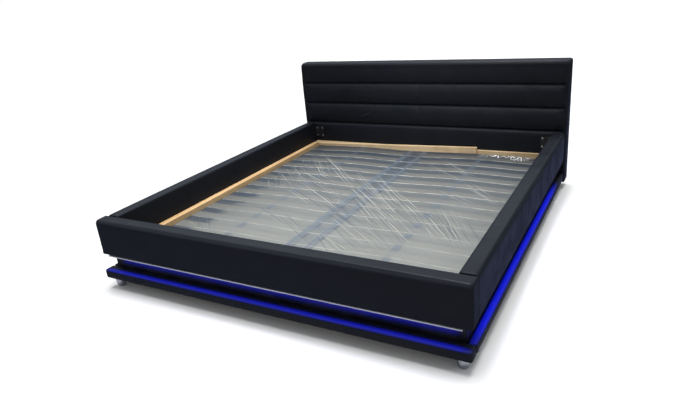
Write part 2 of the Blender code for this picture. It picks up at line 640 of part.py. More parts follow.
def make_lights(bed, materials):
    """A strip in an aluminium channel at the front, a strip under each side rail, and their driver."""
    top = RAIL_BOTTOM - SEAT_GAP
    front = FOOTBOARD_FRONT_Y + PROFILE_SETBACK
    back = front + PROFILE_WIDTH
    base = top - PROFILE_WALL
    bottom = top - PROFILE_HEIGHT
    channel = [
        (front, bottom),
        (front + PROFILE_WALL, bottom),
        (front + PROFILE_WALL, base),
        (back - PROFILE_WALL, base),
        (back - PROFILE_WALL, bottom),
        (back, bottom),
        (back, top),
        (front, top),
    ]
    reach = PLINTH_SIDE_X - PROFILE_END_SETBACK
    extruded("light_profile_front", channel, "YZ", (-reach, reach), materials["aluminium"], bed)
    strip_reach = reach - STRIP_END_SETBACK
    middle = (front + back) / 2
    y = (middle - STRIP_WIDTH / 2, middle + STRIP_WIDTH / 2)
    z = (base - SEAT_GAP - STRIP_THICKNESS, base - SEAT_GAP)
    glow = materials["blue_light"]
    box("light_strip_front", (-strip_reach, strip_reach), y, z, glow, bed, ease=0)
    inner = PLINTH_SIDE_X + SEAT_GAP
    y = (PLINTH_FRONT_Y + STRIP_END_SETBACK, HEAD_Y - SIDE_STRIP_HEAD_SETBACK)
    for side, sign in SIDES:
        x = side_span(sign, inner, inner + STRIP_WIDTH)
        box(f"light_strip_{side}", x, y, (top - STRIP_THICKNESS, top), glow, bed, ease=0)
    inner = PLINTH_SIDE_X - PLINTH_THICKNESS - SEAT_GAP
    x = side_span(-1, inner - DRIVER_DEPTH, inner)
    y_end = HEAD_Y - DRIVER_HEAD_SETBACK
    z = (PLINTH_BOTTOM + DRIVER_RISE, PLINTH_BOTTOM + DRIVER_RISE + DRIVER_HEIGHT)
    box("light_driver", x, (y_end - DRIVER_LENGTH, y_end), z, materials["black_plastic"], bed)


def tube(name, plane, across, along, bed, cutters, materials):
    """A steel tube with round corners, bored through. across and along are its spans."""
    z = (TUBE_BOTTOM, TUBE_TOP)
    outline = rounded_rectangle(across, z, TUBE_RADIUS, steps=1)
    bar = as_mesh(extruded(name, outline, plane, along, materials["grey_steel"], cutters), bed)
    bore_across = (across[0] + TUBE_WALL, across[1] - TUBE_WALL)
    bore_along = (along[0] - CUT_OVERRUN, along[1] + CUT_OVERRUN)
    bore_z = (z[0] + TUBE_WALL, z[1] - TUBE_WALL)
    bore = (bore_across, bore_along, bore_z) if plane == "XZ" else (bore_along, bore_across, bore_z)
    combine(bar, "DIFFERENCE", [box(f"{name}_bore", *bore, None, cutters, ease=0)])
    return bar


def cap_outline(closed_end, mouth):
    """Front view of a plastic cap: a C that is open towards its slat."""
    inner = CAP_WALL if mouth > closed_end else -CAP_WALL
    top = SLAT_BOTTOM + SLAT_THICKNESS + SEAT_GAP
    return [
        (closed_end, CAP_BOTTOM),
        (mouth, CAP_BOTTOM),
        (mouth, CAP_BOTTOM + CAP_WALL),
        (closed_end + inner, CAP_BOTTOM + CAP_WALL),
        (closed_end + inner, top),
        (mouth, top),
        (mouth, top + CAP_WALL),
        (closed_end, top + CAP_WALL),
    ]


def capped_tube(name, x, y, cap_ends, bed, cutters, materials):
    """A long tube with a plastic cap on it for each slat. cap_ends are a cap's closed end and its mouth."""
    steel_tube = tube(name, "XZ", x, y, bed, cutters, materials)
    cap_y = (SLAT_FIRST_Y - CAP_WIDTH / 2, SLAT_FIRST_Y + CAP_WIDTH / 2)
    outline = cap_outline(*cap_ends)
    caps = extruded(f"{name}_caps", outline, "XZ", cap_y, materials["black_plastic"], cutters)
    caps = repeated(as_mesh(caps, cutters), SLAT_COUNT, (0, 0, SLAT_PITCH))
    combine(steel_tube, "UNION", [caps])


def make_slat_frame(bed, cutters, materials):
    """Outer, head and foot tubes, the double middle rail with its ties, and the middle legs."""
    steel = materials["grey_steel"]
    y = (FRAME_FOOT_Y, FRAME_HEAD_Y)
    inner = FRAME_HALF_WIDTH - TUBE_WIDTH
    closed = SLAT_OUTER_END + SEAT_GAP + CAP_WALL
    for side, sign in SIDES:
        x = side_span(sign, inner, FRAME_HALF_WIDTH)
        cap_ends = (sign * closed, sign * (closed - CAP_LENGTH))
        capped_tube(f"slat_frame_{side}", x, y, cap_ends, bed, cutters, materials)
    reach = inner - SEAT_GAP
    for end, y in (
        ("head", (FRAME_HEAD_Y - TUBE_WIDTH, FRAME_HEAD_Y)),
        ("foot", (FRAME_FOOT_Y, FRAME_FOOT_Y + TUBE_WIDTH)),
    ):
        tube(f"slat_frame_{end}", "YZ", y, (-reach, reach), bed, cutters, materials)
    y = (FRAME_FOOT_Y + TUBE_WIDTH + SEAT_GAP, FRAME_HEAD_Y - TUBE_WIDTH - SEAT_GAP)
    half_tube = TUBE_WIDTH / 2
    closed = SLAT_INNER_END - SEAT_GAP - CAP_WALL
    for side, sign in SIDES:
        x = side_span(sign, MIDDLE_TUBE_OFFSET - half_tube, MIDDLE_TUBE_OFFSET + half_tube)
        cap_ends = (sign * closed, sign * (closed + CAP_LENGTH))
        capped_tube(f"slat_frame_middle_{side}", x, y, cap_ends, bed, cutters, materials)
    reach = MIDDLE_TUBE_OFFSET - half_tube - SEAT_GAP
    for step, end in enumerate(("head", "middle", "foot")):
        middle_y = FRAME_HEAD_Y - FIRST_TIE_SETBACK - step * TIE_PITCH
        y = (middle_y - TIE_LENGTH / 2, middle_y + TIE_LENGTH / 2)
        z = (TUBE_TOP - TIE_HEIGHT, TUBE_TOP)
        box(f"slat_frame_tie_{end}", (-reach, reach), y, z, steel, bed, ease=0)

    top = TUBE_BOTTOM - SEAT_GAP
    profile = [
        (0, top),
        (LEG_FLANGE_RADIUS, top),
        (LEG_FLANGE_RADIUS, top - LEG_FLANGE_HEIGHT),
        (LEG_RADIUS, top - LEG_FLANGE_HEIGHT),
        (LEG_RADIUS, LEG_GLIDE_HEIGHT),
        (LEG_GLIDE_RADIUS, LEG_GLIDE_HEIGHT),
        (LEG_GLIDE_RADIUS, 0),
        (0, 0),
    ]
    length = FRAME_HEAD_Y - FRAME_FOOT_Y
    for end, middle_y in (
        ("head", FRAME_HEAD_Y - length * LEG_SETBACK_SHARE),
        ("foot", FRAME_FOOT_Y + length * LEG_SETBACK_SHARE),
    ):
        turned(f"middle_leg_{end}", profile, (0, middle_y, 0), LEG_SIDES, steel, bed)


def slat_rise(x):
    """How far a slat is sprung above its caps at this distance from the bed's middle."""
    start = SLAT_INNER_END + CAP_LENGTH - CAP_WALL
    end = SLAT_OUTER_END - CAP_LENGTH + CAP_WALL
    if not start < x < end:
        return 0.0
    return SLAT_CAMBER * math.sin(math.pi * (x - start) / (end - start))


def slat_outline(sign):
    """Front view of one slat: level inside its caps and cambered between them."""
    start = SLAT_INNER_END + CAP_LENGTH - CAP_WALL
    end = SLAT_OUTER_END - CAP_LENGTH + CAP_WALL
    free = [start + (end - start) * step / SLAT_STATIONS for step in range(SLAT_STATIONS + 1)]
    stations = [SLAT_INNER_END, *free, SLAT_OUTER_END]
    lower = [(sign * x, SLAT_BOTTOM + slat_rise(x)) for x in stations]
    upper = [(x, z + SLAT_THICKNESS) for x, z in reversed(lower)]
    return lower + upper


def belt_outline():
    """Side view of the webbing belt: on the head and foot tubes, and up against the slats between them."""
    edges = (BELT_OFFSET - BELT_WIDTH / 2, BELT_OFFSET + BELT_WIDTH / 2)
    high = SLAT_BOTTOM + min(map(slat_rise, edges)) + FUSE_DEPTH - BELT_THICKNESS
    low = TUBE_TOP + SEAT_GAP
    run = [
        (FRAME_FOOT_Y, low),
        (FRAME_FOOT_Y + TUBE_WIDTH, low),
        (SLAT_LAST_Y, high),
        (SLAT_FIRST_Y, high),
        (FRAME_HEAD_Y - TUBE_WIDTH, low),
        (FRAME_HEAD_Y, low),
    ]
    return run + [(y, z + BELT_THICKNESS) for y, z in reversed(run)]


def make_slats(bed, cutters, materials):
    """Two rows of sprung slats, each row held by a webbing belt under its middle."""
    y = (SLAT_FIRST_Y - SLAT_WIDTH / 2, SLAT_FIRST_Y + SLAT_WIDTH / 2)
    for side, sign in SIDES:
        slats = extruded(f"slats_{side}", slat_outline(sign), "XZ", y, materials["beech"], cutters)
        slats = repeated(as_mesh(slats, bed), SLAT_COUNT, (0, 0, SLAT_PITCH))
        x = side_span(sign, BELT_OFFSET - BELT_WIDTH / 2, BELT_OFFSET + BELT_WIDTH / 2)
        belt = extruded(f"belt_{side}", belt_outline(), "YZ", x, materials["webbing"], cutters)
        combine(slats, "UNION", [as_mesh(belt, cutters)])


def make_film(bed, materials):
    """The clear film that lies on the slats' crowns."""
    bottom = SLAT_BOTTOM + SLAT_THICKNESS + SLAT_CAMBER + SEAT_GAP
    x = (-FRAME_HALF_WIDTH, FRAME_HALF_WIDTH)
    y = (FRAME_FOOT_Y, FRAME_HEAD_Y)
    box("protective_film", x, y, (bottom, bottom + FILM_THICKNESS), materials["clear_film"], bed, ease=0)


def make_materials():
    return {
        "black_leather": make_material("black_leather", (0.012, 0.013, 0.016), 0.42),
        "black_board": make_material("black_board", (0.015, 0.015, 0.018), 0.5),
        "board": make_material("board", (0.55, 0.42, 0.27), 0.8),
        "pine": make_material("pine", (0.72, 0.47, 0.22), 0.6),
        "beech": make_material("beech", (0.62, 0.50, 0.34), 0.5),
        "chrome": make_material("chrome", (0.80, 0.80, 0.82), 0.12, metallic=1.0),
        "aluminium": make_material("aluminium", (0.78, 0.79, 0.82), 0.3, metallic=1.0),
        "bright_steel": make_material("bright_steel", (0.72, 0.72, 0.74), 0.25, metallic=1.0),
        "black_steel": make_material("black_steel", (0.02, 0.02, 0.022), 0.45),
        "grey_steel": make_material("grey_steel", (0.16, 0.19, 0.23), 0.45),
        "black_plastic": make_material("black_plastic", (0.03, 0.03, 0.033), 0.5),
        "webbing": make_material("webbing", (0.10, 0.12, 0.15), 0.9),
        "blue_light": make_material("blue_light", (0.01, 0.03, 0.9), 0.4, glow=4.0),
        "clear_film": make_material("clear_film", (0.85, 0.87, 0.89), 0.15, alpha=0.3),
    }


def main():
    clear_scene()
    bed = make_collection("upholstered_bed")
    cutters = make_collection("cutters")
    materials = make_materials()
    make_feet(bed, materials)
    make_plinth(bed, materials)
    make_rails(bed, cutters, materials)
    make_headboard(bed, materials)
    make_battens(bed, materials)
    make_corner_plates(bed, cutters, materials)
    make_lights(bed, materials)
    make_slat_frame(bed, cutters, materials)
    make_slats(bed, cutters, materials)
    make_film(bed, materials)


main()
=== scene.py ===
"""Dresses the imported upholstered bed: covers, wood, metal, film, plinth lights, camera and stage.

Metres, +Z up. The headboard stands at +Y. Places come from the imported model's own boxes, so each piece lies
where its solid lies.
"""

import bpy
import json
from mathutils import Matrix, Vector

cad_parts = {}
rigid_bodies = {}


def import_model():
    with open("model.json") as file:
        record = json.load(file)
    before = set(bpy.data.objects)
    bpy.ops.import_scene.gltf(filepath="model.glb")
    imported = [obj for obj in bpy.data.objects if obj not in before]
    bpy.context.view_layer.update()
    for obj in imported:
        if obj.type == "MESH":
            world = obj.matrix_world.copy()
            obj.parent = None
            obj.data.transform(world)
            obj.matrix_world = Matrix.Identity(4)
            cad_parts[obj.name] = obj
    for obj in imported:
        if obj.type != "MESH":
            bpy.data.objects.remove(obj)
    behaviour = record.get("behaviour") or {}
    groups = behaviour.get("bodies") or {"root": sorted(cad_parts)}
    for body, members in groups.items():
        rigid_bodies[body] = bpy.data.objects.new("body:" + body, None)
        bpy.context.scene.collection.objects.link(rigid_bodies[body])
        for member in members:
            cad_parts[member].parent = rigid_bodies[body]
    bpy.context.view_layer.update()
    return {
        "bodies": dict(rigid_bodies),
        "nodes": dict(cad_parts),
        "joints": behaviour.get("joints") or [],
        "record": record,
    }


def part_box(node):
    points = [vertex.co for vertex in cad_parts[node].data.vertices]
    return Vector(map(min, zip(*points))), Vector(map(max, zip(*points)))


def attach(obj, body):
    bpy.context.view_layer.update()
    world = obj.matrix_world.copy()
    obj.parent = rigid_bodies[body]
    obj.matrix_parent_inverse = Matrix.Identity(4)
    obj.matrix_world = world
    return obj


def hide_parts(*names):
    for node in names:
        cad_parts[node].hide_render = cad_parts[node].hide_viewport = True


bl_info = {
    "name": "Upholstered bed with lit plinth",
    "version": (1, 0, 0),
    "blender": (4, 5, 0),
    "location": "3D View > Sidebar > Bed",
    "description": "Covers, slats, film, finishes and stage for a packed upholstered bed",
    "category": "Object",
}

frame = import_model()

import json
import math
import random

import bmesh
import bpy
import numpy as np
from bpy.props import FloatProperty, FloatVectorProperty, PointerProperty
from mathutils import Vector, noise

FRAME_BODY = "bed_frame"
SLAT_BODY = "slat_base"
SIDES = (("left", -1), ("right", 1))
ROUND_STEPS = 6
CROWN_FLATNESS = 6
BROAD_WANDER = 3.2
FINE_WANDER = 14
BROAD_SHARE = 0.5
FINE_SHARE = 0.12
SEED_DRIFT = (7.3, 3.1, 5.7)
SMOOTH_ANGLE = math.radians(40)
POCKET_SMOOTH_ANGLE = math.radians(50)
EXTRUDED_SMOOTH_ANGLE = math.radians(30)
PIECE_GAP = 0.0003
FINISH_PREFIX = "bed_"
SLAT_COUNT = 14
SLAT_WIDTH = 0.053
SLAT_THICKNESS = 0.008
SLAT_CAMBER = 0.0095
FIRST_SLAT_SETBACK = 0.0815
LAST_SLAT_SETBACK = 0.0685
CAP_LENGTH = 0.060
CAP_WALL = 0.0025
PRESSURE = 4.0
LEATHER_EASE = 0.02
CLOTH_FRAMES = 20
SHEET_RIPPLE = 0.0002
RIPPLE_SCALE = 30
SAME_PLACE = 1e-6
SWELL_CAP = 0.006
EDGE_LINE_OFFSET = 0.007
UPWARDS = (0, 0, 1)
FORWARDS = (0, -1, 0)


def tone(name, description, default):
    kind = {"subtype": "COLOR", "min": 0, "max": 1}
    return FloatVectorProperty(name=name, description=description, default=default, **kind)


def number(name, description, default, **kind):
    return FloatProperty(name=name, description=description, default=default, **kind)


def factor(name, description, default):
    return number(name, description, default, subtype="FACTOR", min=0, max=1)


def length(name, description, default):
    return number(name, description, default, unit="LENGTH", min=0)


class BedLeatherSettings(bpy.types.PropertyGroup):
    light_tone: tone("Light tone", "Leather colour on the high spots of the grain", (0.0104, 0.0118, 0.0162))
    dark_tone: tone("Dark tone", "Leather colour in the valleys of the grain", (0.0058, 0.0066, 0.0094))
    roughness: factor("Roughness", "Satin finish of the leather", 0.42)
    gloss: factor("Gloss", "Strength of the leather's reflection", 0.11)
    grain_size: length("Grain size", "Size of one pebble of the grain", 0.0016)
    channel_depth: length("Channel depth", "Depth of the headboard's sewn channels", 0.022)
    side_border: length("Side border", "Width over which the channels fade at the headboard's sides", 0.026)


class BedWoodSettings(bpy.types.PropertyGroup):
    pine_light: tone("Pine, light", "Early wood of the battens", (0.61, 0.42, 0.222))
    pine_dark: tone("Pine, dark", "Late wood of the battens", (0.46, 0.29, 0.138))
    head_light: tone("Head battens, light", "Early wood of the paler battens at the head", (0.66, 0.50, 0.31))
    head_dark: tone("Head battens, dark", "Late wood of the paler battens at the head", (0.50, 0.36, 0.20))
    beech_light: tone("Beech, light", "Ground colour of the slats", (0.36, 0.30, 0.21))
    beech_dark: tone("Beech, dark", "Flecks of the slats", (0.27, 0.21, 0.14))


class BedLightSettings(bpy.types.PropertyGroup):
    colour: tone("Light colour", "Colour of the plinth lights", (0.002, 0.008, 0.75))
    strip_strength: number("Strip strength", "Emission of the light strips", 3.0)
    # Painted glow: the ledge leather and the plinth's front board glow by emission where the strips would light
    # them; these three set its brightness
    painted_glow_strength: number("Glow strength", "Brightness of the band that the lights throw on the ledge", 0.42)
    board_share: number("Board share", "Brightness on the plinth's board, as a share of the ledge's", 0.75)
    side_share: number("Side share", "Brightness of the side ledges' band, as a share of the front's", 1.9)


class BedFilmSettings(bpy.types.PropertyGroup):
    # The film's haze tones also hold painted light: lighter at the foot for a painted reflection, darker at the
    # head for painted shade
    near_tone_painted_light: tone("Tone at the foot", "Colour of the film's haze at the foot end", (0.144, 0.149, 0.139))
    far_tone_painted_shade: tone("Tone at the head", "Colour of the film's haze at the head end", (0.062, 0.070, 0.076))
    # Painted highlights on creases and slat edges, brighter at the head to make up for the headboard's shade,
    # and painted shade for dark creases, gaps and streaks
    painted_highlight_line: tone("Light creases", "Colour of creases that catch the light", (0.262, 0.256, 0.215))
    far_painted_highlight_line: tone("Light creases at the head", "Colour of light creases at the head", (0.40, 0.395, 0.35))
    painted_shade_tone: tone("Dark creases", "Colour of creases that show the dark below", (0.026, 0.036, 0.050))
    tube_tone: tone("Tube tone", "Colour of the tubes and belts below the film", (0.070, 0.088, 0.112))
    near_haze: factor("Haze at the foot", "How much the film veils the foot end", 0.90)
    far_haze: factor("Haze at the head", "How much the film veils the head end", 0.74)
    cell: length("Cell", "Spacing of the film's points", 0.004)
    fold_height: length("Fold height", "Height of the largest creases", 0.0026)


class BedStageSettings(bpy.types.PropertyGroup):
    camera_place: FloatVectorProperty(
        name="Camera place",
        description="Where the camera stands",
        subtype="TRANSLATION",
        unit="LENGTH",
        default=(1.519, -2.829, 1.4365),
    )
    camera_turn: FloatVectorProperty(
        name="Camera turn",
        description="Tilt, roll and heading of the camera",
        subtype="EULER",
        unit="ROTATION",
        default=(math.radians(68.84), math.radians(4.80), math.radians(27.82)),
    )
    lens: number("Lens", "Focal length in millimetres", 29.18)
    sky_strength: number("Sky strength", "Soft light from all round", 0.46)
    key_strength: number("Key strength", "Broad light from above and behind", 2.9)
    softbox_power: number("Softbox power", "Lamp over the recess, in watts", 22.0)
    fill_power: number("Fill power", "Lamp that faces the headboard, in watts", 3.0)
    softbox_spread: number("Softbox spread", "Angle of the lamps' beams", math.radians(50), unit="ROTATION")
    key_spread: number("Key spread", "Angle that the broad light fills", math.radians(38), unit="ROTATION")


def shader_sign(operation, swapped=False):
    """A sign between shader values: it adds the Math node that works out the answer."""

    def work_out(value, other=0.0):
        first, second = (other, value) if swapped else (value, other)
        return value.graph.math(operation, first, second)

    return work_out


class Value:
    """A shader socket that can stand in sums."""

    __add__ = shader_sign("ADD")
    __sub__ = shader_sign("SUBTRACT")
    __rsub__ = shader_sign("SUBTRACT", swapped=True)
    __mul__ = shader_sign("MULTIPLY")
    __truediv__ = shader_sign("DIVIDE")
    __rtruediv__ = shader_sign("DIVIDE", swapped=True)
    __abs__ = shader_sign("ABSOLUTE")

    def __init__(self, graph, socket):
        self.graph = graph
        self.socket = socket

    def clamped(self):
        """Keeps the last sign's answer between 0 and 1."""
        self.socket.node.use_clamp = True
        return self


class Graph:
    """Short calls that add and link shader nodes in one tree, from left to right."""

    NODE_WIDTH = 200
    NODE_DROP = 140
    FIRST_NODE_X = -3000

    def __init__(self, tree):
        self.tree = tree
        self.count = 0

    def add(self, kind, inputs=None, **settings):
        node = self.tree.nodes.new(f"ShaderNode{kind}")
        node.location = (self.FIRST_NODE_X + self.NODE_WIDTH * self.count, -self.NODE_DROP * (self.count % 3))
        self.count += 1
        for name, value in settings.items():
            setattr(node, name, value)
        for socket, value in (inputs or {}).items():
            self.feed(node.inputs[socket], value)
        return node

    def feed(self, socket, value):
        if isinstance(value, Value):
            self.tree.links.new(value.socket, socket)
        else:
            socket.default_value = value

    def out(self, kind, inputs=None, output=0, **settings):
        """Adds a node and gives one of its outputs."""
        return Value(self, self.add(kind, inputs, **settings).outputs[output])

    def outs(self, node):
        """A node's outputs by name."""
        return {socket.name: Value(self, socket) for socket in node.outputs}

    def use(self, tree, **inputs):
        """Adds a node group and gives its outputs by name. Its inputs have underlines for spaces."""
        named = {name.replace("_", " "): value for name, value in inputs.items()}
        return self.outs(self.add("Group", named, node_tree=tree))

    def math(self, operation, first, second=0.0):
        return self.out("Math", {0: first, 1: second}, operation=operation)

    def vector(self, operation, first, second, output=0):
        return self.out("VectorMath", {0: first, 1: second}, output, operation=operation)

    def remap(self, value, low, high, new_low=0.0, new_high=1.0, smooth=True):
        kind = "SMOOTHSTEP" if smooth else "LINEAR"
        inputs = {"Value": value, "From Min": low, "From Max": high, "To Min": new_low, "To Max": new_high}
        return self.out("MapRange", inputs, "Result", interpolation_type=kind)

    def mix(self, share, first, second, **settings):
        return self.out("Mix", {0: share, 6: first, 7: second}, 2, data_type="RGBA", **settings)

    def mix_shaders(self, share, first, second):
        return self.out("MixShader", {0: share, 1: first, 2: second})

    def noise(self, coordinates, scale, detail=3.0, roughness=0.5, output="Fac"):
        inputs = {"Vector": coordinates, "Scale": scale, "Detail": detail, "Roughness": roughness}
        return self.out("TexNoise", inputs, output)

    def cells(self, coordinates, scale, **settings):
        return self.out("TexVoronoi", {"Vector": coordinates, "Scale": scale}, "Distance", **settings)

    def place(self):
        return self.out("TexCoord", None, "Object")

    def axes(self, coordinates):
        return self.outs(self.add("SeparateXYZ", {0: coordinates}))

    def bump(self, height, distance, strength=1.0):
        inputs = {"Height": height, "Distance": distance, "Strength": strength}
        return self.out("Bump", inputs, "Normal")


class Finish(Graph):
    """A new material with one Principled shader. Plain values are set on the shader's own sockets."""

    def __init__(self, name, **inputs):
        self.material = bpy.data.materials.new(f"{FINISH_PREFIX}{name}")
        self.material.use_nodes = True
        super().__init__(self.material.node_tree)
        self.shader = self.tree.nodes["Principled BSDF"]
        self.shade(**inputs)

    def shade(self, **inputs):
        for name, value in inputs.items():
            self.feed(self.shader.inputs[name.replace("_", " ")], value)


def opaque(colour):
    return (*colour, 1.0)


def leather_grain(graph, given):
    """Pebbled leather: rounded cells in clusters, with fine pores."""
    place = graph.place()
    scale = 1.0 / given["Cell Size"]
    warp = graph.noise(place, 90.0, detail=2.0, output="Color")
    warped = graph.vector("ADD", place, graph.vector("MULTIPLY", warp, (0.0012, 0.0012, 0.0012)))
    pebble = 1.0 - graph.cells(warped, scale, feature="SMOOTH_F1")
    pores = graph.noise(place, scale * 2.6, detail=2.0)
    broad = graph.noise(place, 7.0, detail=4.0)
    return {"Height": pebble + pores * given["Pore Share"], "Tone": (pebble * 0.45 + broad * 0.75).clamped()}


def wood_grain(graph, given):
    """Planed wood: long grain lines that wander, with darker flecks. Stretch is high across the grain."""
    drawn = graph.vector("MULTIPLY", graph.place(), given["Stretch"])
    lines = graph.noise(drawn, 1.0, detail=5.0, roughness=0.62)
    rings = graph.noise(graph.vector("MULTIPLY", drawn, (0.22, 0.22, 0.22)), 1.0, detail=2.0)
    flecks = graph.remap(graph.noise(drawn, 4.5, detail=1.0), 0.58, 0.72)
    late = graph.remap(lines * 0.6 + rings * 0.5, 0.4, 0.72)
    dark = graph.math("MAXIMUM", late, flecks * given["Fleck Share"])
    return {"Colour": graph.mix(dark, given["Light"], given["Dark"]), "Height": 1.0 - lines}


def handling(graph, given):
    """Dust, smudges and rubbed spots: a soft patchy mask."""
    patches = graph.noise(graph.place(), 1.0 / given["Patch Size"], detail=5.0, roughness=0.62)
    half = given["Contrast"] * 0.5
    return {"Mask": graph.remap(patches, half + 0.22, 0.82 - half)}


def brushed_lines(graph, given):
    """Fine parallel lines of drawn or brushed metal. Stretch is high across the lines."""
    drawn = graph.vector("MULTIPLY", graph.place(), given["Stretch"])
    return {"Height": graph.noise(drawn, 1.0, detail=3.0, roughness=0.7)}


def painted_strip_glow(graph, given):
    """Mask of the painted glow, an emission that stands in for the light the strips throw: full at Centre, gone
    at Reach, and faded before Start and End.
    """
    away = abs(given["Across"] - given["Centre"])
    across = graph.remap(away / given["Reach"], 0.35, 1.0, 1.0, 0.0)
    begun = (given["Along"] - given["Start"]) / given["Fade"]
    left = (given["End"] - given["Along"]) / given["Fade"]
    along = graph.remap(graph.math("MINIMUM", begun, left), 0.0, 1.0)
    return {"Mask": across * along}


def film_haze_and_painted_light(graph, given):
    """Hazy plastic film: tone and haze from foot to head and milky patches, with painted light: a tone lighter
    at the foot and darker at the head, painted shade across the middle, painted light at the right side, and
    painted highlight lines over slat edges.
    """
    place = graph.place()
    axes = graph.axes(place)
    patches = graph.noise(place, 5.2, detail=5.0, roughness=0.62)
    fine = graph.noise(graph.vector("MULTIPLY", place, (26.0, 70.0, 1.0)), 1.0, detail=4.0)
    slanted = graph.out("VectorRotate", {"Vector": place, "Angle": math.radians(44)}, rotation_type="Z_AXIS")
    drawn = graph.noise(graph.vector("MULTIPLY", slanted, (4.0, 150.0, 1.0)), 1.0, detail=3.0, roughness=0.6)
    milk = (patches - 0.5) + (fine - 0.5) + (drawn - 0.5)
    along = axes["Y"] / given["Half Length"]
    far = graph.remap(along + milk * 0.42, -1.0, 1.0, smooth=False)
    # Painted shade across the middle, and painted light at the right side where the rail's shadow falls
    dip = graph.remap(abs(along + 0.10), 0.18, 0.55, 1.0, 0.0) * given["Middle Dip"]
    lift = graph.remap(axes["X"], 0.40, 0.64) * given["Side Lift"]
    tinted = graph.mix(far, given["Near Tone"], given["Far Tone"])
    ground = graph.remap(along, -1.0, 1.0, given["Near Haze"], given["Far Haze"], smooth=False)
    haze = (ground + milk * 0.22).clamped()
    # Painted highlight lines where the film runs over each slat's edge
    turns = graph.math("FRACT", (axes["Y"] - given["First Edge"]) / given["Pitch"])
    away = graph.math("MINIMUM", turns, 1.0 - turns) * given["Pitch"]
    line = graph.remap(away / given["Line Width"], 0.3, 1.0, 1.0, 0.0)
    broken = graph.remap(graph.noise(place, 14.0, detail=3.0), 0.34, 0.60, 0.25, 1.0)
    return {
        "Tone": graph.vector("MULTIPLY", tinted, (lift - dip) + 1.0),
        "Haze": graph.remap(haze, 0.0, 1.0, 0.05, 0.96, smooth=False),
        "Edge Line": line * broken,
        "Far": far,
        "Height": drawn * 0.6 + fine * 0.5,
    }


# Node groups: name, how its outputs are worked out, and its inputs with their plain values
EFFECTS = {
    "leather": ("Leather Grain", leather_grain, {"Cell Size": 0.0016, "Pore Share": 0.25}),
    "wood": (
        "Wood Grain",
        wood_grain,
        {
            "Light": (0.8, 0.5, 0.2, 1.0),
            "Dark": (0.5, 0.3, 0.1, 1.0),
            "Stretch": Vector((60.0, 2.0, 60.0)),
            "Fleck Share": 0.3,
        },
    ),
    "handling": ("Handling", handling, {"Patch Size": 0.12, "Contrast": 0.5}),
    "brushed": ("Brushed Lines", brushed_lines, {"Stretch": Vector((4.0, 900.0, 900.0))}),
    "glow": (
        "Strip Glow",
        painted_strip_glow,
        {"Across": 0.0, "Centre": 0.0, "Reach": 0.02, "Along": 0.0, "Start": -1.0, "End": 1.0, "Fade": 0.08},
    ),
    "film": (
        "Film Haze",
        film_haze_and_painted_light,
        {
            "Near Tone": (0.4, 0.4, 0.4, 1.0),
            "Far Tone": (0.1, 0.1, 0.1, 1.0),
            "Near Haze": 0.9,
            "Far Haze": 0.6,
            "Half Length": 1.0,
            "First Edge": 0.0,
            "Pitch": 0.14,
            "Line Width": 0.004,
            "Middle Dip": 0.12,
            "Side Lift": 0.18,
        },
    ),
}


def effect_group(name, work_out, inputs):
    """A node group with named inputs. Its outputs are numbers, or colours where no number comes out."""
    kinds = {float: "NodeSocketFloat", tuple: "NodeSocketColor", Vector: "NodeSocketVector"}
    tree = bpy.data.node_groups.new(name, "ShaderNodeTree")
    for socket, default in inputs.items():
        item = tree.interface.new_socket(name=socket, in_out="INPUT", socket_type=kinds[type(default)])
        item.default_value = default
    graph = Graph(tree)
    made = work_out(graph, graph.outs(tree.nodes.new("NodeGroupInput")))
    for socket, value in made.items():
        kind = kinds[float] if value.socket.type == "VALUE" else kinds[tuple]
        tree.interface.new_socket(name=socket, in_out="OUTPUT", socket_type=kind)
    end = tree.nodes.new("NodeGroupOutput")
    for socket, value in made.items():
        graph.feed(end.inputs[socket], value)
    return tree


# Painted finishes: colour, roughness, and how much lighter the handled spots are
PAINTS = {
    "black_board": ((0.008, 0.008, 0.010), 0.42, 0.004),
    # The plinth's front board also carries a painted glow of the strip's light, added in make_materials
    "plinth_front_board": ((0.008, 0.008, 0.010), 0.36, 0.004),
    "black_steel": ((0.012, 0.013, 0.015), 0.38, 0.010),
    "grey_steel": ((0.055, 0.075, 0.110), 0.50, 0.020),
    "black_plastic": ((0.016, 0.017, 0.019), 0.50, 0.008),
    "webbing": ((0.045, 0.060, 0.085), 0.85, 0.020),
    "cap_plastic": ((0.045, 0.055, 0.075), 0.50, 0.010),
}
# Metals: colour, roughness, stretch and strength of the brushed lines, and how metallic
METALS = {
    "chrome": ((0.72, 0.72, 0.73), 0.05, (40.0, 40.0, 40.0), 0.05, 1.0),
    "screw_steel": ((0.36, 0.36, 0.38), 0.30, (300.0, 300.0, 300.0), 0.30, 1.0),
    "aluminium": ((0.54, 0.55, 0.58), 0.34, (4.0, 900.0, 900.0), 0.30, 0.35),
}


def leather_finish(name, groups, settings):
    finish = Finish(name, Specular_IOR_Level=settings.gloss)
    grain = finish.use(groups["leather"], Cell_Size=settings.grain_size)
    rubbed = finish.use(groups["handling"], Patch_Size=0.16, Contrast=0.3)["Mask"]
    low = settings.roughness - 0.05
    finish.shade(
        Base_Color=finish.mix(grain["Tone"], opaque(settings.dark_tone), opaque(settings.light_tone)),
        Roughness=finish.remap(rubbed, 0.0, 1.0, low, low + 0.12),
        Normal=finish.bump(grain["Height"], distance=0.00022, strength=0.4),
    )
    return finish


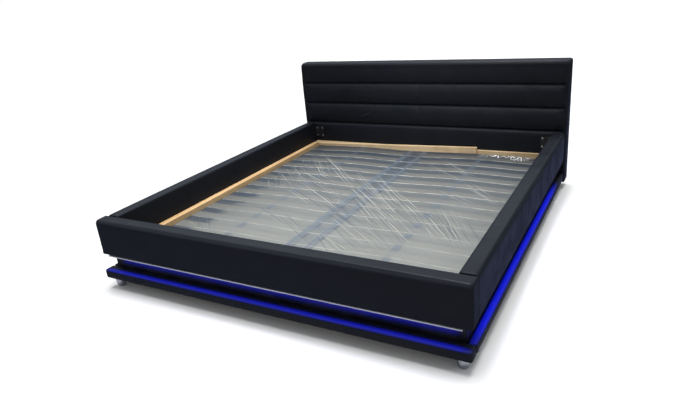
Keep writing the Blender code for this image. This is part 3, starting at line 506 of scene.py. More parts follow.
def add_painted_glow(finish, groups, colour, facing, strength, across, along, **numbers):
    """Paints the blue band that a light strip throws on the faces that look along a direction, as emission in
    this finish: a painted glow, not light from the strip.
    """
    axes = finish.axes(finish.place())
    mask = finish.use(groups["glow"], Across=axes[across], Along=axes[along], **numbers)["Mask"]
    normal = finish.out("NewGeometry", None, "Normal")
    looks = finish.vector("DOT_PRODUCT", normal, facing, "Value")
    mask = mask * finish.remap(looks, 0.15, 0.85)
    glow = finish.mix(mask, (0.0, 0.0, 0.0, 1.0), opaque(colour))
    finish.shade(Emission_Color=glow, Emission_Strength=strength)


def wood_finish(name, groups, light, dark, stretch, roughness):
    finish = Finish(name, Specular_IOR_Level=0.35)
    grain = finish.use(groups["wood"], Light=opaque(light), Dark=opaque(dark), Stretch=Vector(stretch))
    rubbed = finish.use(groups["handling"], Patch_Size=0.3)["Mask"]
    finish.shade(
        Base_Color=finish.mix(rubbed, grain["Colour"], (0.86, 0.84, 0.82, 1.0), blend_type="MULTIPLY"),
        Roughness=finish.remap(rubbed, 0.0, 1.0, roughness - 0.06, roughness + 0.08),
        Normal=finish.bump(grain["Height"], distance=0.0004, strength=0.5),
    )


def painted_finish(name, groups, colour, roughness, speck):
    """Lacquer or powder coat: an even colour with a fine orange peel and handling marks."""
    finish = Finish(name, Specular_IOR_Level=0.4)
    rubbed = finish.use(groups["handling"], Patch_Size=0.09)["Mask"]
    lighter = [min(1.0, value + speck) for value in colour]
    peel = finish.noise(finish.place(), 900.0, detail=2.0)
    finish.shade(
        Base_Color=finish.mix(rubbed, opaque(colour), opaque(lighter)),
        Roughness=finish.remap(rubbed, 0.0, 1.0, roughness - 0.06, roughness + 0.08),
        Normal=finish.bump(peel, distance=0.0001, strength=0.4),
    )
    return finish


def metal_finish(name, groups, colour, roughness, stretch, lines, metallic):
    finish = Finish(name, Metallic=metallic, Base_Color=opaque(colour))
    brushed = finish.use(groups["brushed"], Stretch=Vector(stretch))["Height"]
    smudges = finish.use(groups["handling"], Patch_Size=0.03)["Mask"]
    finish.shade(
        Roughness=finish.remap(smudges, 0.0, 1.0, roughness, roughness + 0.1),
        Normal=finish.bump(brushed, distance=0.00004, strength=lines),
    )


def strip_finish(light):
    """A light strip: resin that glows most over each diode."""
    finish = Finish("light_strip_resin", Roughness=0.35, Base_Color=opaque(light.colour))
    bright = finish.remap(finish.cells(finish.place(), 60.0, feature="F1"), 0.1, 0.6, 1.0, 0.45)
    glow = finish.mix(bright, (0.0, 0.0, 0.1, 1.0), opaque(light.colour))
    finish.shade(Emission_Color=glow, Emission_Strength=light.strip_strength)


def film_finish(groups, film, half_length):
    """Film whose mesh tells where its creases get painted highlights or painted shade (crease), where it lies
    on tubes (tube), and where painted shade lies over gaps, beside the tubes and in streaks (clear).
    """
    rows = find_slat_rows()
    dark = opaque(film.painted_shade_tone)
    finish = Finish("clear_film", Specular_IOR_Level=0.35, IOR=1.5)
    veil = finish.use(
        groups["film"],
        Near_Tone=opaque(film.near_tone_painted_light),
        Far_Tone=opaque(film.far_tone_painted_shade),
        Near_Haze=film.near_haze,
        Far_Haze=film.far_haze,
        Half_Length=half_length,
        First_Edge=rows["first_edge"],
        Pitch=rows["pitch"],
    )
    crease, clear, tube = (
        finish.out("Attribute", None, "Fac", attribute_name=mark) for mark in ("crease", "clear", "tube")
    )
    # Painted glint where the brightest creases would catch the light, and painted shade on the dark creases
    glint = (crease - 1.0).clamped()
    shaded = (crease * -1.0).clamped()
    bare = (1.0 - tube).clamped()
    # Painted highlights over slat edges, made stronger at the head to make up for the headboard's shade
    painted_edge_highlight = veil["Edge Line"] * finish.remap(veil["Far"], 0.3, 0.8, 0.45, 0.85) * bare
    lit = finish.math("MAXIMUM", (crease * 1.0).clamped(), painted_edge_highlight)
    lit_tone = finish.mix(veil["Far"], opaque(film.painted_highlight_line), opaque(film.far_painted_highlight_line))
    # Painted shade over gaps, streaks and beside the tubes, then the tubes, then painted shade and painted
    # highlights of the creases
    colour = finish.mix(clear, veil["Tone"], dark)
    colour = finish.mix(tube, colour, opaque(film.tube_tone))
    colour = finish.mix(shaded * 0.75, colour, dark)
    colour = finish.mix(lit, colour, lit_tone)
    # The film is made more opaque where its painted shade and painted highlights lie
    finish.shade(
        Base_Color=finish.mix(glint, colour, (0.90, 0.93, 0.96, 1.0)),
        Alpha=(veil["Haze"] * (clear * 0.22 + 1.0) + lit * 0.35).clamped(),
        Roughness=finish.remap(veil["Haze"], 0.0, 1.0, 0.2, 0.46),
        Normal=finish.bump(veil["Height"], distance=0.0015, strength=0.45),
    )


def find_slat_rows():
    """Where the slats lie along the bed: their pitch, the foot-most one's middle line, and where the painted
    highlight over its edge lies.
    """
    low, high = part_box("slat_frame_left")
    last = low.y + LAST_SLAT_SETBACK
    pitch = (high.y - FIRST_SLAT_SETBACK - last) / (SLAT_COUNT - 1)
    return {"last": last, "pitch": pitch, "first_edge": last - SLAT_WIDTH / 2 - EDGE_LINE_OFFSET}


def make_materials(scene):
    """Makes every finish of the bed."""
    groups = {key: effect_group(*parts) for key, parts in EFFECTS.items()}
    leather = scene.bed_leather
    wood = scene.bed_wood
    light = scene.bed_light
    leather_finish("black_leather", groups, leather)
    wood_finish("pine_lengthwise", groups, wood.pine_light, wood.pine_dark, (60.0, 1.8, 60.0), 0.55)
    wood_finish("pine_crosswise", groups, wood.head_light, wood.head_dark, (1.8, 60.0, 60.0), 0.55)
    wood_finish("pine_upright", groups, wood.pine_light, wood.pine_dark, (60.0, 60.0, 1.8), 0.55)
    wood_finish("beech_slat", groups, wood.beech_light, wood.beech_dark, (3.0, 110.0, 110.0), 0.42)
    wood_finish("chip_board", groups, (0.60, 0.47, 0.31), (0.40, 0.29, 0.17), (300.0, 300.0, 300.0), 0.8)
    paints = {name: painted_finish(name, groups, *parts) for name, parts in PAINTS.items()}
    for name, parts in METALS.items():
        metal_finish(name, groups, *parts)
    strip_finish(light)
    plinth_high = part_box("plinth_front")[1]
    film_finish(groups, scene.bed_film, plinth_high.x)
    side_low, side_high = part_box("ledge_right")
    strip_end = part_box("light_strip_front")[1].x
    # Painted glow: emission on the front ledge's leather stands in for the light that the front strip throws on
    # it
    add_painted_glow(
        leather_finish("ledge_front_leather", groups, leather),
        groups,
        light.colour,
        UPWARDS,
        light.painted_glow_strength,
        "Y",
        "X",
        Centre=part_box("ledge_front")[0].y + 0.001,
        Reach=0.032,
        Start=-strip_end - 0.090,
        End=strip_end + 0.090,
    )
    # Painted glow: emission on the side ledges' leather stands in for the light of the side strips
    add_painted_glow(
        leather_finish("ledge_side_leather", groups, leather),
        groups,
        light.colour,
        UPWARDS,
        light.painted_glow_strength * light.side_share,
        "X",
        "Y",
        Centre=side_high.x - 0.002,
        Reach=0.036,
        Start=side_low.y - 0.12,
        End=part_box("light_strip_right")[1].y + 0.04,
        Fade=0.30,
    )
    # Painted glow: emission on the plinth's front board stands in for the light of the front strip
    add_painted_glow(
        paints["plinth_front_board"],
        groups,
        light.colour,
        FORWARDS,
        light.painted_glow_strength * light.board_share,
        "Z",
        "X",
        Centre=plinth_high.z,
        Reach=0.072,
        Start=-strip_end,
        End=strip_end + 0.02,
        Fade=0.05,
    )


def finish_of(name):
    return bpy.data.materials[f"{FINISH_PREFIX}{name}"]


def ramp(value, low, high):
    """0 up to the low value, 1 from the high value on, and even between them."""
    return max(0.0, min(1.0, (value - low) / (high - low)))


def add_piece(name, mesh, finish, body, slot, *nodes):
    """Links a mesh as a piece with a finish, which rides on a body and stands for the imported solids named."""
    piece = bpy.data.objects.new(name, mesh)
    bpy.context.scene.collection.objects.link(piece)
    if not mesh.materials:
        mesh.materials.append(finish_of(finish))
    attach(piece, body)
    if nodes:
        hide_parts(*nodes)
    return piece


def mesh_from(bm, name, smooth_angle=SMOOTH_ANGLE):
    mesh = bpy.data.meshes.new(name)
    bm.normal_update()
    bm.to_mesh(mesh)
    bm.free()
    mesh.shade_smooth()
    mesh.set_sharp_from_angle(angle=smooth_angle)
    return mesh


def rounded_stations(low, high, radius, step):
    """Places along one axis of a box: closer together where its edges are rounded."""
    rounding = [radius * (1 - math.tan(math.pi / 4 * (1 - k / ROUND_STEPS))) for k in range(ROUND_STEPS)]
    flat = high - low - 2 * radius
    count = max(1, round(flat / step))
    middle = [low + radius + flat * k / count for k in range(count + 1)]
    return [low + place for place in rounding] + middle + [high - place for place in reversed(rounding)]


def station_box(stations):
    """A closed box whose faces are divided at the places given along X, Y and Z."""
    bm = bmesh.new()
    corners = {}
    for axis in range(3):
        first, second = (other for other in range(3) if other != axis)
        for end in (0, len(stations[axis]) - 1):
            for i in range(len(stations[first]) - 1):
                for j in range(len(stations[second]) - 1):
                    ring = []
                    for step_i, step_j in ((0, 0), (1, 0), (1, 1), (0, 1)):
                        index = [end, end, end]
                        index[first] = i + step_i
                        index[second] = j + step_j
                        key = tuple(index)
                        if key not in corners:
                            corners[key] = bm.verts.new([line[k] for line, k in zip(stations, key)])
                        ring.append(corners[key])
                    bm.faces.new(ring)
    bmesh.ops.recalc_face_normals(bm, faces=bm.faces)
    return bm


def soften(bm, low, high, axis, radius_at, end_radius_at, crown, wobble, seed):
    """Pads a bar that runs along an axis: one radius rounds its section and another its ends.

    Its faces swell to the box given, and the padding wanders inwards a little.
    """
    low = Vector(low) + Vector(crown)
    high = Vector(high) - Vector(crown)
    centre = (low + high) / 2
    half = (high - low) / 2
    drift = Vector([seed * value for value in SEED_DRIFT])
    ring = [other for other in range(3) if other != axis]
    outward = {}
    for vert in bm.verts:
        share = Vector([max(-1.0, min(1.0, (vert.co[k] - centre[k]) / half[k])) for k in range(3)])
        spot = Vector([centre[k] + share[k] * half[k] for k in range(3)])
        radius = radius_at(share)
        end_radius = min(end_radius_at(share), radius)
        place = spot.copy()
        for k in ring:
            place[k] = min(max(spot[k], low[k] + radius), high[k] - radius)
        side = spot - place
        reach = max(abs(side[k]) for k in ring)
        side.normalize()
        rim = max(0.0, 1 - (radius - reach) / end_radius)
        past = abs(share[axis]) * half[axis] - half[axis] + end_radius
        over = max(0.0, past / end_radius)
        if rim and over:
            squeeze = max(rim, over) / math.hypot(rim, over)
            reach = radius - end_radius * (1 - rim * squeeze)
            inset = end_radius * (1 - over * squeeze)
            place[axis] = centre[axis] + math.copysign(half[axis] - inset, share[axis])
        direction = side * rim
        direction[axis] = math.copysign(over, share[axis])
        direction.normalize()
        flat = [1 - abs(value) ** CROWN_FLATNESS for value in share]
        swell = Vector([direction[k] * crown[k] for k in range(3)])
        for k in range(3):
            swell[k] *= math.prod(flat[other] for other in range(3) if other != k)
        broad = BROAD_SHARE * noise.noise(spot * BROAD_WANDER + drift)
        fine = FINE_SHARE * noise.noise(spot * FINE_WANDER + drift)
        sunk = wobble * (0.5 + broad + fine)
        vert.co = place + side * reach - direction * max(0.0, sunk) + swell
        outward[vert] = direction
    return outward


def sewn_sheet(across, up, seams):
    """How far leather swells between its seams: one row for each height, one column for each place across.

    A short cloth run works it out, pressed from behind and held where the leather is sewn.
    """
    columns = len(across)
    points = [
        (x, SHEET_RIPPLE * noise.noise(Vector((x * RIPPLE_SCALE, 0, z * RIPPLE_SCALE))), z)
        for z in up
        for x in across
    ]
    faces = []
    for row in range(len(up) - 1):
        for column in range(columns - 1):
            corner = row * columns + column
            faces.append((corner, corner + 1, corner + columns + 1, corner + columns))
    mesh = bpy.data.meshes.new("sewn_sheet")
    mesh.from_pydata(points, [], faces)
    sheet = bpy.data.objects.new("sewn_sheet", mesh)
    scene = bpy.context.scene
    scene.collection.objects.link(sheet)
    edges = (across[0], across[-1])
    sewn = [
        index
        for index, (x, y, z) in enumerate(points)
        if x in edges or min(abs(z - seam) for seam in seams) < SAME_PLACE
    ]
    sheet.vertex_groups.new(name="sewn").add(sewn, 1.0, "REPLACE")
    press = sheet.modifiers.new("press", "CLOTH")
    press.settings.vertex_group_mass = "sewn"
    press.settings.use_pressure = True
    press.settings.uniform_pressure_force = PRESSURE
    press.settings.shrink_min = -LEATHER_EASE
    press.settings.effector_weights.gravity = 0
    press.collision_settings.use_collision = False
    press.point_cache.frame_end = CLOTH_FRAMES
    for frame in range(1, CLOTH_FRAMES + 1):
        scene.frame_set(frame)
    settled = sheet.evaluated_get(bpy.context.evaluated_depsgraph_get()).data
    places = np.empty(3 * len(points), dtype=np.float32)
    settled.vertices.foreach_get("co", places)
    scene.frame_set(1)
    bpy.data.objects.remove(sheet, do_unlink=True)
    swell = -places.reshape(len(up), columns, 3)[:, :, 1]
    return SWELL_CAP * np.tanh(swell / SWELL_CAP)


def carved(mesh, low, high):
    """The mesh with a box cut out of it."""
    block = bmesh.new()
    bmesh.ops.create_cube(block, size=1.0)
    bmesh.ops.scale(block, vec=high - low, verts=block.verts)
    bmesh.ops.translate(block, vec=(low + high) / 2, verts=block.verts)
    cutter = bpy.data.objects.new("pocket_cutter", mesh_from(block, "pocket_cutter"))
    body = bpy.data.objects.new("pocket_body", mesh)
    for obj in (cutter, body):
        bpy.context.scene.collection.objects.link(obj)
    boolean = body.modifiers.new("pocket", "BOOLEAN")
    boolean.operation = "DIFFERENCE"
    boolean.object = cutter
    bpy.context.view_layer.update()
    cut = bpy.data.meshes.new_from_object(body.evaluated_get(bpy.context.evaluated_depsgraph_get()))
    for obj in (cutter, body):
        bpy.data.objects.remove(obj, do_unlink=True)
    cut.shade_smooth()
    cut.set_sharp_from_angle(angle=POCKET_SMOOTH_ANGLE)
    return cut


def repeat(piece, count, step):
    """Repeats the piece's shape along a step, as separate solids."""
    array = piece.modifiers.new("repeat", "ARRAY")
    array.count = count
    array.use_relative_offset = False
    array.use_constant_offset = True
    array.constant_offset_displace = step


def skin(bm, rings):
    """Makes the faces between each ring of points and the next. A ring may be a single point."""
    for first, second in zip(rings, rings[1:]):
        count = max(len(first), len(second))
        for side in range(count):
            following = (side + 1) % count
            corners = [first[side % len(first)], first[following % len(first)]]
            corners += [second[following % len(second)], second[side % len(second)]]
            bm.faces.new(list(dict.fromkeys(corners)))


def turned_mesh(name, profile, place, sides):
    """A solid turned about an upright axis, from (radius, height) points that start and end on the axis."""
    bm = bmesh.new()
    rings = []
    for radius, height in profile:
        angles = [math.tau * side / sides for side in range(sides if radius else 1)]
        offsets = [Vector((radius * math.cos(angle), radius * math.sin(angle), height)) for angle in angles]
        rings.append([bm.verts.new(place + offset) for offset in offsets])
    skin(bm, rings)
    bmesh.ops.recalc_face_normals(bm, faces=bm.faces)
    return mesh_from(bm, name)


def swept_mesh(name, stations, section, bevel=0.0, smooth_angle=SMOOTH_ANGLE):
    """A closed bar: section gives its outline at each station, in order."""
    bm = bmesh.new()
    rings = [[bm.verts.new(point) for point in section(station)] for station in stations]
    skin(bm, rings)
    bm.faces.new(rings[0])
    bm.faces.new(rings[-1])
    bmesh.ops.recalc_face_normals(bm, faces=bm.faces)
    if bevel:
        bmesh.ops.bevel(bm, geom=bm.edges[:], offset=bevel, segments=2, profile=0.7, affect="EDGES")
    return mesh_from(bm, name, smooth_angle)


def extruded_mesh(name, outline, span, bevel=0.0):
    """An outline of (x, z) points, made as deep along Y as the span."""
    return swept_mesh(name, span, lambda y: [(x, y, z) for x, z in outline], bevel, EXTRUDED_SMOOTH_ANGLE)


def rounded_outline(first, second, radius, steps=3):
    """A rectangle between two spans with round corners, as (first, second) points."""
    points = []
    for right, top, quarter in ((1, 1, 0), (0, 1, 1), (0, 0, 2), (1, 0, 3)):
        middle = (first[right] + (-radius if right else radius), second[top] + (-radius if top else radius))
        for step in range(steps + 1):
            angle = (quarter + step / steps) * math.pi / 2
            points.append((middle[0] + radius * math.cos(angle), middle[1] + radius * math.sin(angle)))
    return points


class BED_OT_finishes(bpy.types.Operator):
    """Makes the finishes and gives the solids that stay their own"""

    bl_idname = "bed.finishes"
    bl_label = "Finishes"

    FINISH_NODES = {
        "plinth_front_board": ("plinth_front",),
        "black_board": ("plinth_head", "plinth_left", "plinth_right"),
        "chip_board": ("side_rail_left_board", "side_rail_right_board", "footboard_board", "headboard_panel"),
        "pine_upright": ("headboard_post_left", "headboard_post_right"),
        "pine_crosswise": (
            "headboard_top_rail",
            "headboard_bottom_rail",
            "guide_batten_head",
            "slanted_batten",
            "support_batten_head",
            "support_batten_foot",
        ),
        "pine_lengthwise": (
            "guide_batten_left",
            "guide_batten_right",
            "support_batten_left",
            "support_batten_right",
        ),
        "aluminium": ("light_profile_front",),
        "light_strip_resin": ("light_strip_front", "light_strip_left", "light_strip_right"),
        "black_plastic": ("light_driver",),
        "grey_steel": (
            "slat_frame_head",
            "slat_frame_foot",
            "slat_frame_tie_head",
            "slat_frame_tie_middle",
            "slat_frame_tie_foot",
        ),
    }

    def execute(self, context):
        make_materials(context.scene)
        for finish, nodes in self.FINISH_NODES.items():
            for node in nodes:
                solid = frame["nodes"][node]
                solid.data.materials.clear()
                solid.data.materials.append(finish_of(finish))
        return {"FINISHED"}


class BED_OT_headboard_cover(bpy.types.Operator):
    """Makes the headboard's cover: sewn channels, side borders and a smooth roll over the top"""

    bl_idname = "bed.headboard_cover"
    bl_label = "Headboard cover"

    PADS = (
        "headboard_base_pad",
        "headboard_bolster_lower",
        "headboard_bolster_middle",
        "headboard_bolster_top",
    )
    SIDE_RADIUS = 0.015
    TOP_RADIUS = 0.026
    FOOT_RADIUS = 0.009
    CORNER_RADIUS = 0.031
    BACK_CORNER_RADIUS = 0.018
    WANDER = 0.0012
    # Seams: the ones between the channels, the upright one in the middle, and the back's
    SEAM_WIDTH = 0.004
    SEAM_DEPTH = 0.004
    MIDDLE_SEAM_X = -0.022
    MIDDLE_SEAM_WIDTH = 0.0028
    MIDDLE_SEAM_DEPTH = 0.0018
    BACK_SEAM_INSET = 0.037
    BACK_SEAM_DEPTH = 0.002
    BACK_FACING = 0.9
    # How the front draws in: at its sides, on the lower pad, in the channels, and in puckers along the seams
    BORDER_START = 0.010
    PAD_DEPTH = 0.003
    PAD_SEAM_DEPTH = 0.014
    PAD_SEAM_REACH = 0.011
    CHANNEL_FLATNESS = 2.3
    CHANNEL_FULLNESS = 0.68
    TOP_DEPTH_SHARE = 0.10
    PUCKER_DEPTH = 0.0009
    PUCKER_REACH = 0.02
    PUCKERS = (42, 6)
    # The slanting crease, from its start to its end, as (x, z)
    CREASE_START = (-0.505, 0.443)
    CREASE_END = (-0.405, 0.481)
    CREASE_HEIGHT = 0.0052
    CREASE_WIDTH = 0.0045
    # The cloth run: its sheet, how far it is drawn in first, and where that fades below the top
    SHEET_BORDER = 0.030
    SHEET_COLUMNS = 111
    SHEET_ROWS = 10
    SLACK = 0.004
    SLACK_REACH = 0.03
    ROLL_START = 0.030
    ROLL_END = 0.075
    # Spacing of the mesh's points
    CELL = 0.018
    DEPTH_CELL = 0.02
    BORDER_CELL = 0.006
    BORDER_COLUMNS = 5
    CHANNEL_CELL = 0.014
    CHANNEL_ROWS = 18
    MIDDLE_SEAM_CELL = 0.0015
    MIDDLE_SEAM_COLUMNS = 3
    COVER_SMOOTH_ANGLE = math.radians(60)
    CREASE_COLUMNS = (0.02, 0.005, 28)
    CREASE_ROWS = (0.012, 0.003, 22)

    def execute(self, context):
        settings = context.scene.bed_leather
        boxes = [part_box(node) for node in self.PADS]
        wrap_low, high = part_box("headboard_wrap")
        low = Vector((wrap_low.x, min(box[0].y for box in boxes), wrap_low.z))
        self.seams = [box[0].z for box in boxes[1:]]
        self.top = high.z
        self.half_width = high.x
        self.settle(low, high)
        x_stations = self.cross_stations(low.x, high.x)
        y_stations = rounded_stations(low.y, high.y, self.TOP_RADIUS, self.DEPTH_CELL)
        z_stations = self.height_stations(low.z, high.z)
        bm = station_box((x_stations, y_stations, z_stations))
        outward = soften(bm, low, high, 1, self.corner_at, self.edge_at, (0, 0, 0), self.WANDER, 1)
        for vert, direction in outward.items():
            if direction.y < 0:
                vert.co.y -= direction.y * self.sink(vert.co.x, vert.co.z, settings)
            elif direction.y > self.BACK_FACING:
                vert.co.y -= self.back_seam(vert.co.x, vert.co.z, low, high)
        name = "headboard_cover"
        mesh = mesh_from(bm, name, self.COVER_SMOOTH_ANGLE)
        leather = "black_leather"
        cover = add_piece(name, mesh, leather, FRAME_BODY, leather, *self.PADS, "headboard_wrap")
        return {"FINISHED"}

    def settle(self, low, high):
        self.sheet_x = np.linspace(low.x + self.SHEET_BORDER, high.x - self.SHEET_BORDER, self.SHEET_COLUMNS)
        sewn = [low.z + self.SHEET_BORDER, *self.seams, high.z - self.SHEET_BORDER]
        rows = [np.linspace(bottom, top, self.SHEET_ROWS + 1)[:-1] for bottom, top in zip(sewn, sewn[1:])]
        self.sheet_z = np.concatenate([*rows, [sewn[-1]]])
        self.swell = sewn_sheet(self.sheet_x.tolist(), self.sheet_z.tolist(), sewn)

    def swell_at(self, x, z):
        if not (self.sheet_x[0] < x < self.sheet_x[-1] and self.sheet_z[0] < z < self.sheet_z[-1]):
            return 0.0
        column = int(np.searchsorted(self.sheet_x, x)) - 1
        row = int(np.searchsorted(self.sheet_z, z)) - 1
        u = (x - self.sheet_x[column]) / (self.sheet_x[column + 1] - self.sheet_x[column])
        v = (z - self.sheet_z[row]) / (self.sheet_z[row + 1] - self.sheet_z[row])
        across = np.array((1 - u, u))
        up = np.array((1 - v, v))
        return float(up @ self.swell[row : row + 2, column : column + 2] @ across)

    def corner_at(self, share):
        """Full at the front of the top, and tight at the back, where the posts stand close behind."""
        front = ramp(-share.y, 0.25, 0.75)
        top = self.BACK_CORNER_RADIUS + (self.CORNER_RADIUS - self.BACK_CORNER_RADIUS) * front
        return self.FOOT_RADIUS + (top - self.FOOT_RADIUS) * ramp(share.z, -1, -0.5)

    def edge_at(self, share):
        full = self.SIDE_RADIUS + (self.TOP_RADIUS - self.SIDE_RADIUS) * ramp(share.z, 0.55, 0.95)
        return full if share.y < 0 else self.FOOT_RADIUS

    def cross_stations(self, low, high):
        inner = high - self.CORNER_RADIUS
        places = rounded_stations(low, high, self.CORNER_RADIUS, self.CELL)
        border = range(1, self.BORDER_COLUMNS + 1)
        places += [side * (inner - self.BORDER_CELL * k) for side in (-1, 1) for k in border]
        middle = range(-self.MIDDLE_SEAM_COLUMNS, self.MIDDLE_SEAM_COLUMNS + 1)
        places += [self.MIDDLE_SEAM_X + self.MIDDLE_SEAM_CELL * k for k in middle]
        margin, cell, count = self.CREASE_COLUMNS
        places += [self.CREASE_START[0] - margin + cell * k for k in range(count)]
        return sorted(set(round(place, 5) for place in places))

    def height_stations(self, low, high):
        """Heights that crowd towards each seam."""
        edges = [low + self.CORNER_RADIUS, *self.seams, high - self.CORNER_RADIUS]
        turns = [1 - math.tan(math.pi / 4 * (1 - k / ROUND_STEPS)) for k in range(ROUND_STEPS)]
        places = [low + self.CORNER_RADIUS * turn for turn in turns]
        places += [high - self.CORNER_RADIUS * turn for turn in turns]
        for bottom, top in zip(edges, edges[1:]):
            count = max(self.CHANNEL_ROWS, round((top - bottom) / self.CHANNEL_CELL))
            turned = [(1 - math.cos(math.pi * k / count)) / 2 for k in range(count)]
            places += [bottom + (top - bottom) * share for share in turned]
        places.append(edges[-1])
        margin, cell, count = self.CREASE_ROWS
        places += [self.CREASE_START[1] - margin + cell * k for k in range(count)]
        return sorted(set(round(place, 5) for place in places))

    def sink(self, x, z, settings):
        """How far the front lies behind the channels' crowns."""
        border = ramp(self.half_width - abs(x), self.BORDER_START, self.BORDER_START + settings.side_border)
        border = border * border * (3 - 2 * border)
        nearest = min(abs(z - seam) for seam in self.seams)
        depth = self.channel_depth_at(z, settings.channel_depth)
        depth += self.SEAM_DEPTH * math.exp(-((nearest / self.SEAM_WIDTH) ** 2))
        pucker = noise.noise(Vector((x * self.PUCKERS[0], z * self.PUCKERS[1], 0.5)))
        depth += self.PUCKER_DEPTH * pucker * math.exp(-nearest / self.PUCKER_REACH)
        if z > self.seams[0]:
            upright = (x - self.MIDDLE_SEAM_X) / self.MIDDLE_SEAM_WIDTH
            depth += self.MIDDLE_SEAM_DEPTH * math.exp(-upright * upright)
        below_roll = ramp(self.top - z, self.ROLL_START, self.ROLL_END)
        slack = self.SLACK * min(1.0, nearest / self.SLACK_REACH)
        depth += below_roll * (slack - self.swell_at(x, z))
        return border * depth - self.crease(x, z)

    def channel_depth_at(self, z, full_depth):
        if z < self.seams[0]:
            away = self.seams[0] - z
            return self.PAD_DEPTH + self.PAD_SEAM_DEPTH * math.exp(-away / self.PAD_SEAM_REACH)
        edges = [*self.seams, self.top]
        for bottom, top in zip(edges, edges[1:]):
            if bottom <= z <= top:
                share = 2 * (z - bottom) / (top - bottom) - 1
                if top == self.top and share > 0:
                    return self.TOP_DEPTH_SHARE * full_depth * share
                full = (1 - min(1.0, abs(share)) ** self.CHANNEL_FLATNESS) ** self.CHANNEL_FULLNESS
                return full_depth * (1 - full)
        return 0.0

    def crease(self, x, z):
        """How far the slanting crease stands out."""
        start = Vector(self.CREASE_START)
        run = Vector(self.CREASE_END) - start
        spot = Vector((x, z)) - start
        along = spot.dot(run) / run.length_squared
        if not 0 < along < 1:
            return 0.0
        across = (spot - run * along).length / self.CREASE_WIDTH
        return self.CREASE_HEIGHT * math.sin(math.pi * along) * math.exp(-across * across)

    def back_seam(self, x, z, low, high):
        """The groove where the back's cloth is sewn to the wrap, all round."""
        inset = min(x - low.x, high.x - x, z - low.z, high.z - z)
        across = (inset - self.BACK_SEAM_INSET) / self.SEAM_WIDTH
        return self.BACK_SEAM_DEPTH * math.exp(-across * across)


class BED_OT_rail_covers(bpy.types.Operator):
    """Makes the padded covers of the side rails and the footboard, open underneath for their boards"""

    bl_idname = "bed.rail_covers"
    bl_label = "Rail covers"

    TOP_RADIUS = 0.023
    FOOT_RADIUS = 0.007
    INNER_RADIUS = 0.010
    BUTT_RADIUS = 0.006
    FRONT_RADIUS = 0.022
    FRONT_LEFT_RADIUS = 0.012
    CROWN = 0.0022
    WANDER = 0.0004
    CELL = 0.016
    POCKET_DROP = 0.01

    def execute(self, context):
        rails = (("side_rail_left", 1, 1), ("side_rail_right", 1, -1), ("footboard", 0, 1))
        for seed, (rail, along, inward) in enumerate(rails):
            low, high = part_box(f"{rail}_cover")
            board_low, board_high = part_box(f"{rail}_board")
            crown = Vector((0, 0, self.CROWN))
            crown[1 - along] = self.CROWN
            end_radius = self.butt_at if along == 1 else self.front_at

            def radius_at(share, across=1 - along, inward=inward):
                inner = (1 + inward * share[across]) / 2
                full = self.TOP_RADIUS + (self.INNER_RADIUS - self.TOP_RADIUS) * inner
                return self.FOOT_RADIUS + (full - self.FOOT_RADIUS) * ramp(share.z, -1, -0.3)

            lines = [rounded_stations(low[axis], high[axis], self.TOP_RADIUS, self.CELL) for axis in range(3)]
            lines[along] = self.end_stations(low[along], high[along])
            bm = station_box(lines)
            soften(bm, low, high, along, radius_at, end_radius, crown, self.WANDER, seed + 2)
            gap = Vector((PIECE_GAP, PIECE_GAP, PIECE_GAP))
            pocket_low = board_low - gap
            pocket_low.z = low.z - self.POCKET_DROP
            name = f"{rail}_leather"
            mesh = carved(mesh_from(bm, name), pocket_low, board_high + gap)
            cover = add_piece(name, mesh, "black_leather", FRAME_BODY, "black_leather", f"{rail}_cover")
        return {"FINISHED"}

    def butt_at(self, share):
        return self.BUTT_RADIUS

    def front_at(self, share):
        """The footboard's ends are full at the front and tight where the side rails meet them."""
        full = self.FRONT_RADIUS if share.x > 0 else self.FRONT_LEFT_RADIUS
        return self.BUTT_RADIUS + (full - self.BUTT_RADIUS) * (1 - share.y) / 2

    def end_stations(self, low, high):
        tight = rounded_stations(low, high, self.BUTT_RADIUS, self.CELL)
        full = rounded_stations(low, high, self.FRONT_RADIUS, self.CELL)
        near = [place for place in full if min(place - low, high - place) < self.FRONT_RADIUS]
        return sorted(set(round(place, 5) for place in tight + near))


class BED_OT_ledge_covers(bpy.types.Operator):
    """Makes the padded ledge round the plinth's foot, whose leather carries the painted glow that stands in for
    the band the lights throw on it
    """

    bl_idname = "bed.ledge_covers"
    bl_label = "Ledge covers"

    RADIUS = 0.012
    CROWN = 0.0012
    WANDER = 0.0008
    CELL = 0.012

    def execute(self, context):
        crown = Vector((0, 0, self.CROWN))
        ledges = (("front", 0, "front"), ("left", 1, "side"), ("right", 1, "side"))
        for seed, (place, along, finish) in enumerate(ledges):
            low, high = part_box(f"ledge_{place}")
            lines = [rounded_stations(low[axis], high[axis], self.RADIUS, self.CELL) for axis in range(3)]
            bm = station_box(lines)
            soften(bm, low, high, along, self.radius_at, self.radius_at, crown, self.WANDER, seed + 6)
            name = f"ledge_{place}_leather"
            mesh = mesh_from(bm, name)
            # The ledge's finish has the painted glow of the strips' band in its emission
            glow_painted_finish = f"ledge_{finish}_leather"
            ledge = add_piece(name, mesh, glow_painted_finish, FRAME_BODY, "black_leather", f"ledge_{place}")
        return {"FINISHED"}

    def radius_at(self, share):
        return self.RADIUS


